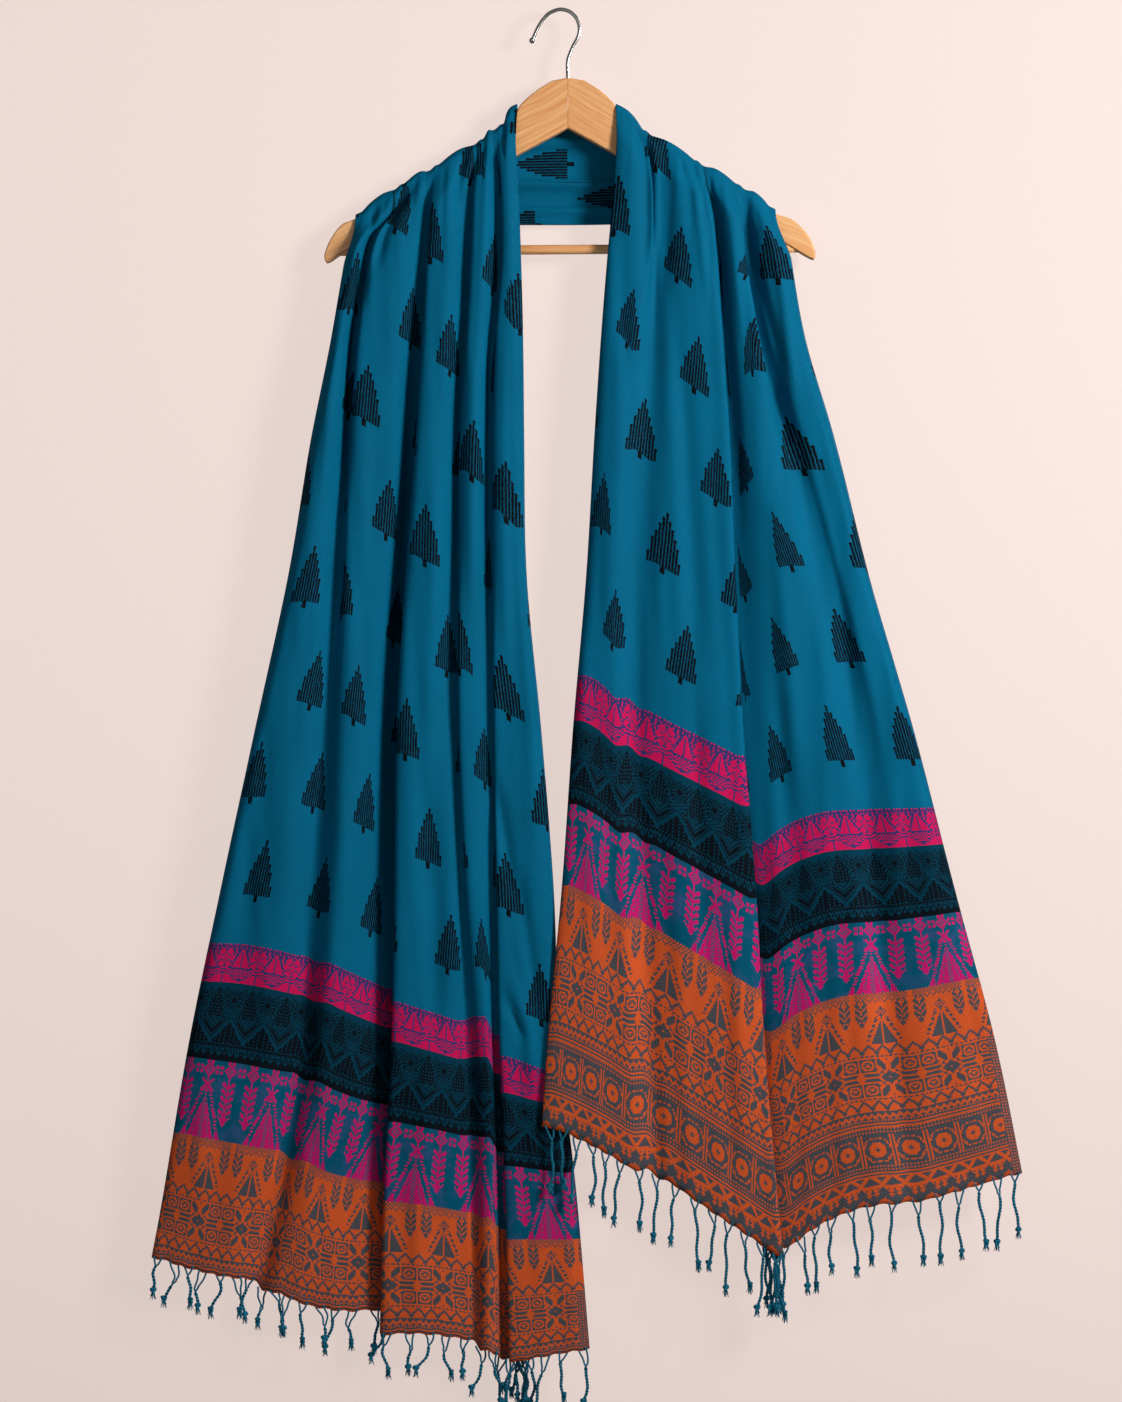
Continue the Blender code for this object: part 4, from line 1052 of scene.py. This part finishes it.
def band_material(name, chart, top, height, axis, repeat, figure_colour, ground, haze=None, stippled=False):
    """A woven band: a charted figure on its ground, with a haze of another colour or a stippled selvage."""
    material, tree, shader = new_material("shawl_" + name)
    across, down, edge = cloth_place(tree)
    cell_wide = repeat / (2.0 * (chart.shape[1] - 1))
    figure = charted(chart, across, down, axis, cell_wide, top, height / chart.shape[0])
    if stippled:
        dots = (edge / STIPPLE).floor().wrap(2.0) * (down / STIPPLE).floor().wrap(2.0)
        figure = figure + (1.0 - dots - figure) * edge.below(STIPPLED_WIDTH)
    if haze:
        patch = noise(tree, (across * 0.05, down * 0.06))
        ground = blend(tree, ((patch - 0.45) * 3.0).clip(), ground, haze)
    worn = noise(tree, (across * 0.6, down * 0.6))
    colour = blend(tree, (figure * (0.8 + worn * 0.4)).clip(), ground, figure_colour)
    finish_cloth(tree, shader, colour, across, down, edge)
    return material


# Woven bands are charted on squared paper, half a repeat wide: the first and the last column
# are mirror axes. X is a figure thread, a full stop is ground and an underscore leaves what is there.
PINK_CHART = """
X.X..X.X..X.X
.............
..X..X..X..X.
X....X...XX..
XX...X..XXXX.
.X..X..XXXXX.
.XX..X..XXX.X
.XX..X.XX..XX
.XXX..XXXXXXX
.XXX..XXXXX.X
.XXXX..XX..XX
.XXXX.X..XX.X
.XXXXX..XXXX.
.XXXXX.XXXXX.
.XXXXXX..XX..
..........XXX
X.X.X..XXX...
.X.X.XX..XXXX
X.X.X..XX....
.X.XXXX..XXX.
X.X....XXXXX.
.XXXX.XXXXXX.
.....XXXXXXX.
..XXXXXXXXXX.
XXXXXXXXXXXX.
""".split()
URN_AND_FLOWER = """
X....X.......
XX....X.....X
X.X.X..X.X.X.
XX.X.X..X.X.X
X.X.X.X.XX.X.
XXX..X.X..X.X
X.XX.X.XXX.XX
XXX.X.X...XXX
X.XXX..XXX.XX
XXXX.X.X..X.X
X.X.XX..XX.X.
XXXXX..XX.X.X
X.X.X.X..X.X.
XXXXXX..X...X
X.X.X.X...X..
XXXXXX.XX...X
X.X.X.X...X..
.XXXX.X.X....
""".split()
BRAID = """
.X.X.X.X.X.X.
XXXXXXXXXXXXX
X.X.X.X.X.X.X
....X...X...X
XX.X.X.X.X.XX
.X.X.X.X.X.X.
XX...XX...XX.
XXX.XXXX.XXXX
XXXXXXXXXXXXX
XXXXXXXXXXXXX
XXXXXXXXXXXXX
""".split()
DIAMOND = """
__XX_XX__
__XX_XX__
___XXX___
__XX.XX__
_XX.X.XX_
XX.X.X.XX
_XX.X.XX_
__XX.XX__
___XXX___
____X____
____X____
____X____
""".split()
LEAF = """
XX..X..XX
XXX.X.XXX
.XXXXXXX.
...XXX...
""".split()
LEAF_TIP = """
X..XXX..X
.XXXXXXX.
..XXXXX..
...XXX...
...XXX...
....X....
""".split()
FOUR_SQUARES = """
XX.XX
XX.XX
.....
XX.XX
XX.XX
""".split()
NECK = """
XX..X..XX
.XX.X.XX.
..XXXXX..
...XXX...
..XXXXX..
.XXX.XXX.
XXX.X.XXX
XX.XXX.XX
""".split()
# Leaves and paired triangles of the orange border. The first column is the axis of the pair.
SPIKE_CHART = """
X.X.X.X.X.X.X.X...
.X.X.X.X.X.X.X.X..
X.X.X.X.X.X.X.X...
.X...X...X.X.X.X..
X.X.X.X.X.XX.XX...
...X...X..X.X.X...
.........XX...XX..
.........XXX.XXX..
X.........XX.XX...
XX.......X.XXX.X..
X.X......XX.X.XX..
.X.X.....XXX.XXX..
X.X.......XX.XX...
XX.......X.XXX.X..
X..X.....XX.X.XX..
X...X....XXX.XXX..
...XX.....XXXXX...
.X..XX....X.X.X...
.X.........XXX....
.XX..XX....XXX....
.XX..XX.....X.....
.XXX..............
.XXX..XX..........
.XXXX..XX.........
.XXXX.............
.XXXXX..XX........
.XXXXX..XX........
.XXXXXX...........
.XXXXXX..XX.......
.XXXXXXX..........
.XXXXXXX..........
""".split()
ZIGZAG_CHART = """
X....
XX...
.XX..
..XX.
...XX
...XX
....X
""".split()
# Diamonds between four leaves, squared eyes and bars: the upper half, down to its mirror row.
EYE_CHART = """
X.XX.XX.XX.XX.XX.X
..................
X....XX.XXXXXXXXX.
....XXX.XX.....XX.
...XXXX.X..XXX..X.
..XXXXX.X.XX.XX.X.
..XXXX..X.X...X.X.
..XXX...X..XXX..X.
..XX...XXX.....XX.
X...X...XXXXXXXXX.
XX..XX............
XXXX..XXXXXXXXXX..
XXXXX..XXXXXXXX...
.XXXXX............
""".split()
# Teeth between fine lines, round flowers, and the triangles and crowns above the hem.
TEETH_CHART = """
XXX
XX.
X..
..X
.XX
X.X
XXX
""".split()
FINE_TEETH_CHART = """
X.X
XXX
X.X
XXX
""".split()
CROWN_CHART = """
X...XXX
XX...XX
XXX...X
XXXX...
XXXXX..
.......
......X
X..X.XX
X...XXX
XX.XXXX
X...XXX
XX.XXXX
XXXXXXX
XXXXXX.
XXXX...
XXX....
XX....X
""".split()


def cells_of(art):
    return np.array([[mark == "X" for mark in line] for line in art])


def stamp(cells, art, top, middle):
    """Draws a motif with its top row and middle column at that place, and its mirror image past an axis."""
    last = cells.shape[1] - 1
    for r, line in enumerate(art):
        for c, mark in enumerate(line):
            column = last - abs(last - abs(middle - len(line) // 2 + c))
            if mark != "_" and 0 <= column and top + r < cells.shape[0]:
                cells[top + r, column] = mark == "X"


def black_band():
    """Urns, leaves and round flowers above a zigzag, then a braid and a black edge."""
    cells = np.zeros((48, 13), bool)
    cells[3:3 + len(URN_AND_FLOWER)] = cells_of(URN_AND_FLOWER)
    for c in range(13):
        line = 34 - int(round(13 * c / 12))
        for r in range(21, line):
            cells[r, c] = (line - r) in (1, 3, 5) or (r + c) % 3 == 0
        cells[line:line + 3, c] = False
        cells[line + 3:38, c] = c % 3 != 1
        cells[line + 4:38:2, c] = True
    cells[37:] = cells_of(BRAID)
    return cells


def magenta_band():
    """Meshed diamonds, hanging leaves and tall ribbed pyramids."""
    cells = np.zeros((46, 24), bool)
    stamp(cells, DIAMOND, 0, 0)
    stamp(cells, DIAMOND, 0, 15)
    stamp(cells, FOUR_SQUARES, 3, 7)
    stamp(cells, FOUR_SQUARES, 3, 23)
    for k in range(5):
        stamp(cells, LEAF, 12 + 4 * k, 15)
    stamp(cells, LEAF_TIP, 32, 15)
    stamp(cells, NECK, 11, 0)
    apex = 20
    for r in range(apex, 46):
        wide = (r - apex) * 9.5 / 25
        for c in range(int(wide) + 1):
            on_line = abs(c / max(wide, 1) - 0.62) * wide < 0.5 and wide > 4
            cells[r, c] = not (on_line or c == 1) or (r + c) % 2 == 0
        cells[r, 0] = r % 2 == 0
        comb = int(round(wide)) + 3
        cells[r, comb:comb + 2] = (r + comb) % 3 != 0
    cells[43:, 11:14] = True
    return cells


def flower_rows():
    """Round flowers inside six-sided lines, parted by upright ones."""
    cells = np.ones((19, 10), bool)
    for r in range(19):
        for c in range(10):
            high = abs(r - 9)
            flower = 1.3 < math.hypot(c, high) < 4.7
            six_sided = 6.6 < max(high, 0.866 * c + 0.5 * high) < 7.7
            cells[r, c] = not (flower or (six_sided and (r + c) % 3) or c == 8)
    return cells


# Where the mirror axes lie across the width, and how wide the repeats are.
WIDE_AXIS = 13.5
NARROW_AXIS = 7.0
NARROW_REPEAT = 34.5
SPIKE_REPEAT = 47.8
ZIGZAG_REPEAT = 11.9
TOOTH_REPEAT = 5.6
FLOWER_REPEAT = 25.3
CROWN_REPEAT = 17.1

# The orange border, row by row: name, chart and width of the repeat.
# A line is slate between two orange ones. The left end shows the first rows only.
LINE_ROWS = cells_of((".", "X", ".")).repeat(2, axis=1)
ORANGE_ROWS = (("spikes", cells_of(SPIKE_CHART), SPIKE_REPEAT),
               ("zigzag", cells_of(ZIGZAG_CHART), ZIGZAG_REPEAT),
               ("eyes", cells_of(EYE_CHART + EYE_CHART[-2::-1]), SPIKE_REPEAT),
               ("lower_zigzag", cells_of(ZIGZAG_CHART), ZIGZAG_REPEAT),
               ("teeth", cells_of(TEETH_CHART), TOOTH_REPEAT),
               ("line", LINE_ROWS, TOOTH_REPEAT),
               ("fine_teeth", cells_of(FINE_TEETH_CHART), TOOTH_REPEAT),
               ("flowers", flower_rows(), FLOWER_REPEAT),
               ("lower_teeth", cells_of(FINE_TEETH_CHART), TOOTH_REPEAT),
               ("lower_line", LINE_ROWS, TOOTH_REPEAT),
               ("crowns", cells_of(CROWN_CHART), CROWN_REPEAT))
PLAIN_EDGED = ("spikes", "zigzag")
SHOWN_ROWS = [(name, chart.shape[0]) for name, chart, _ in ORANGE_ROWS]
LEFT_ROWS = 6
LEFT_TREE_AXIS = 17.0
RIGHT_TREE_AXIS = 44.0


def cloth_materials():
    """One material for the plain ground and one for each woven band."""
    pink_high, black_high, magenta_high = BAND_HEIGHTS
    made = {"field": field_material()}
    made["pink"] = band_material("pink", cells_of(PINK_CHART), 0.0, pink_high,
                                 NARROW_AXIS + NARROW_REPEAT / 2, NARROW_REPEAT, PINK, VIOLET)
    made["black"] = band_material("black", black_band(), pink_high, black_high,
                                  NARROW_AXIS, NARROW_REPEAT, NIGHT, DEEP_TEAL)
    made["magenta"] = band_material("magenta", magenta_band(), pink_high + black_high, magenta_high,
                                    WIDE_AXIS, TREE_REPEAT, MAGENTA, TEAL_GREEN, haze=HAZE_BLUE)
    top = sum(BAND_HEIGHTS)
    for name, chart, repeat in ORANGE_ROWS:
        height = chart.shape[0] * CELL
        made[name] = band_material(name, chart, top, height, WIDE_AXIS, repeat, SLATE, ORANGE,
                                   stippled=name not in PLAIN_EDGED)
        top += height
    return made


def yarn_material():
    """Teal yarn with fine fibres."""
    material, tree, shader = new_material("tassel_yarn", Roughness=0.7)
    x, y, z = object_place(tree)
    fibre = noise(tree, (x * 2200.0, y * 2200.0, z * 700.0), 3.0, 0.6)
    cloud = noise(tree, (x * 60.0, y * 60.0, z * 40.0))
    colour = blend(tree, (fibre * 0.7 + cloud * 0.6 - 0.15).clip(), linear(0, 66, 90), linear(10, 132, 166))
    add_bump(tree, shader, fibre, 0.0003, 0.6)
    wear(tree, shader, Base_Color=colour, Sheen_Weight=0.04, Specular_IOR_Level=0.2)
    return material


def wood_material(name, slope):
    """Light varnished wood with its grain along a slope, in degrees up to the right."""
    material, tree, shader = new_material(name)
    x, y, z = object_place(tree)
    a = math.radians(slope)
    along = x * math.cos(a) + z * math.sin(a)
    over = z * math.cos(a) - x * math.sin(a)
    sway = noise(tree, (along * 14.0, y * 20.0, over * 30.0))
    grain = noise(tree, (along * 10.0, y * 160.0, over * 330.0 + sway * 4.0), 4.0, 0.62)
    pores = noise(tree, (along * 70.0, y * 900.0, over * 2600.0))
    colour = blend(tree, ((grain - 0.3) * 2.5).clip(), linear(230, 149, 86), linear(255, 203, 141))
    dark = ((pores - 0.58) * 5.0).clip() * 0.45
    colour = blend(tree, dark, colour, linear(170, 104, 56))
    add_bump(tree, shader, grain, 0.0002, 0.25)
    wear(tree, shader, Base_Color=colour, Roughness=0.3 + grain * 0.2, Coat_Weight=0.25, Coat_Roughness=0.25)
    return material


def steel_material():
    """Bright wire with faint rubbing."""
    material, tree, shader = new_material("hook_wire", Metallic=1.0)
    x, y, z = object_place(tree)
    rubbed = noise(tree, (x * 1800.0, y * 1800.0, z * 1800.0), 3.0, 0.6)
    colour = blend(tree, rubbed, linear(176, 174, 172), linear(204, 202, 200))
    add_bump(tree, shader, rubbed, 0.00002, 0.2)
    wear(tree, shader, Base_Color=colour, Roughness=0.2 + rubbed * 0.08)
    return material


materials = cloth_materials()
yarn = yarn_material()
left = cloth_fall("shawl_front_left", LEFT_FOLDS, LEFT_SIDE, FRONT_LEFT, LEFT_CREASES, LEFT_SHARES,
                  SHOWN_ROWS[:LEFT_ROWS], LEFT_TREE_AXIS, materials)
right = cloth_fall("shawl_front_right", RIGHT_FOLDS, RIGHT_SIDE, FRONT_RIGHT, RIGHT_CREASES, RIGHT_SHARES,
                   SHOWN_ROWS, RIGHT_TREE_AXIS, materials)
neck = back_neck("shawl_back_neck", left["ridge"], right["ridge"], materials)
left_fringe = fringe("shawl_fringe_left", left, LEFT_LENGTHS, LEFT_LEANS, LEFT_UNRULY, yarn)
right_fringe = fringe("shawl_fringe_right", right, RIGHT_LENGTHS, RIGHT_LEANS, RIGHT_UNRULY, yarn)
left_wood, right_wood = wood_material("wood_left", LEFT_GRAIN), wood_material("wood_right", RIGHT_GRAIN)

for node, record_slot, piece in (
        ("front_left", "shawl_cloth", left["piece"]),
        ("front_right", "shawl_cloth", right["piece"]),
        ("back_neck", "shawl_cloth", neck),
        ("fringe_left", "tassel_yarn", left_fringe),
        ("fringe_right", "tassel_yarn", right_fringe),
        ("arm_left", "wood", wooden_arm("wood_arm_left", ARM_LEFT, JOINT_X - JOINT_GAP / 2, left_wood)),
        ("arm_right", "wood", wooden_arm("wood_arm_right", ARM_RIGHT, JOINT_X + JOINT_GAP / 2, right_wood)),
        ("trouser_bar", "wood", trouser_bar("wood_bar", wood_material("wood_bar", 0.0))),
        ("hook", "hook_wire", steel_hook("steel_hook", steel_material()))):
    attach(piece, "root")
    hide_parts(node)

# The picture spans this much of the plane through the middle of the cloth.
PICTURE_HIGH = 1243.6
PICTURE_MIDDLE = -615.6
PICTURE_PLANE = -20.0
CAMERA_AWAY = 3200.0
SENSOR = 36.0

camera_data = bpy.data.cameras.new("camera")
camera_data.sensor_width = SENSOR
camera_data.lens = SENSOR * CAMERA_AWAY / PICTURE_HIGH
camera = add_object("camera", camera_data)
camera.location = (0.0, (PICTURE_PLANE - CAMERA_AWAY) * MM, PICTURE_MIDDLE * MM)
camera.rotation_euler = (math.radians(90), 0, 0)
bpy.context.scene.camera = camera
bpy.context.scene.view_settings.view_transform = "Standard"

STAGE_SIZE = 8000.0
WALL_BEHIND = 22.0
WALL_MIDDLE = -600.0
FLOOR_BELOW = -1420.0
# Painted light: the stage planes glow in place of the room's light, which also weakens the shadows cast on
# them.
PLANE_PAINTED_GLOW = 0.98
PLANE_SHARE = 0.25


def stage_plane(name, centre, turn, tint):
    """A matte plane that is seen from its front only, with a painted glow in place of the room's own light,
    painted lighter towards the top and the right of the wall.
    """
    half = STAGE_SIZE / 2
    verts = [(-half, -half, 0), (half, -half, 0), (half, half, 0), (-half, half, 0)]
    tint = tint[:3]
    material, tree, shader = new_material(name, Roughness=0.9, Specular_IOR_Level=0.0)
    x, y, z = object_place(tree)
    grainy = noise(tree, (x * 90.0, y * 90.0, z * 90.0), 4.0, 0.6)
    # Painted light: the glow is lighter towards the plane's +x and +y (the wall's right and top) and darker
    # towards the far -y end (the wall's bottom), mottled by a faint grain.
    fade = (1.1 + grainy * 0.02) * (1.0 + x * 0.05 + y * 0.1 - y * y * 0.12)
    wear(tree, shader, Base_Color=[c * PLANE_SHARE for c in tint] + [1.0],
         Emission_Color=scaled(tree, tint, fade), Emission_Strength=PLANE_PAINTED_GLOW)
    clear = add_node(tree, "BsdfTransparent")
    facing = add_node(tree, "NewGeometry")
    sides = {0: facing.outputs["Backfacing"], 1: shader.outputs[0], 2: clear.outputs[0]}
    seen = add_node(tree, "MixShader", sides)
    join(tree, seen.outputs[0], tree.nodes["Material Output"].inputs["Surface"])
    plane = mesh_of(name, [(verts, [[0, 1, 2, 3]])], material, smooth=False)
    plane.location = [c * MM for c in centre]
    plane.rotation_euler = (turn, 0, 0)
    plane.visible_shadow = False
    plane.visible_diffuse = False
    plane.visible_glossy = False
    plane.visible_transmission = False


stage_plane("wall", (0, WALL_BEHIND, WALL_MIDDLE), math.radians(90), linear(216, 200, 194))
stage_plane("floor", (0, 0, FLOOR_BELOW), 0.0, linear(210, 194, 188))

# Lights, with their places in metres. All of them aim at the middle of the shawl.
LIT_PLACE = (0.0, 0.0, -0.6)
WARM = (1.0, 0.98, 0.95)
COOL = (0.95, 0.97, 1.0)
ROOM_GLOW = 0.18


def area_light(name, place, size, power, tint):
    data = bpy.data.lights.new(name, "AREA")
    data.shape = "DISK"
    data.size = size
    data.energy = power
    data.color = tint
    item = add_object(name, data)
    item.location = place
    x, y, z = np.subtract(LIT_PLACE, place)
    item.rotation_euler = (math.atan2(math.hypot(x, y), -z), 0, math.atan2(-x, y))


area_light("key", (1.35, -1.3, 0.1), 0.6, 35.0, WARM)
area_light("fill", (-0.9, -2.8, -0.5), 1.8, 5.0, COOL)
area_light("rear", (0.8, 2.8, 0.4), 1.8, 60.0, WARM)

world = bpy.data.worlds.new("room")
world.use_nodes = True
sky = world.node_tree.nodes["Background"]
sky.inputs["Color"].default_value = linear(244, 240, 236)
sky.inputs["Strength"].default_value = ROOM_GLOW
bpy.context.scene.world = world
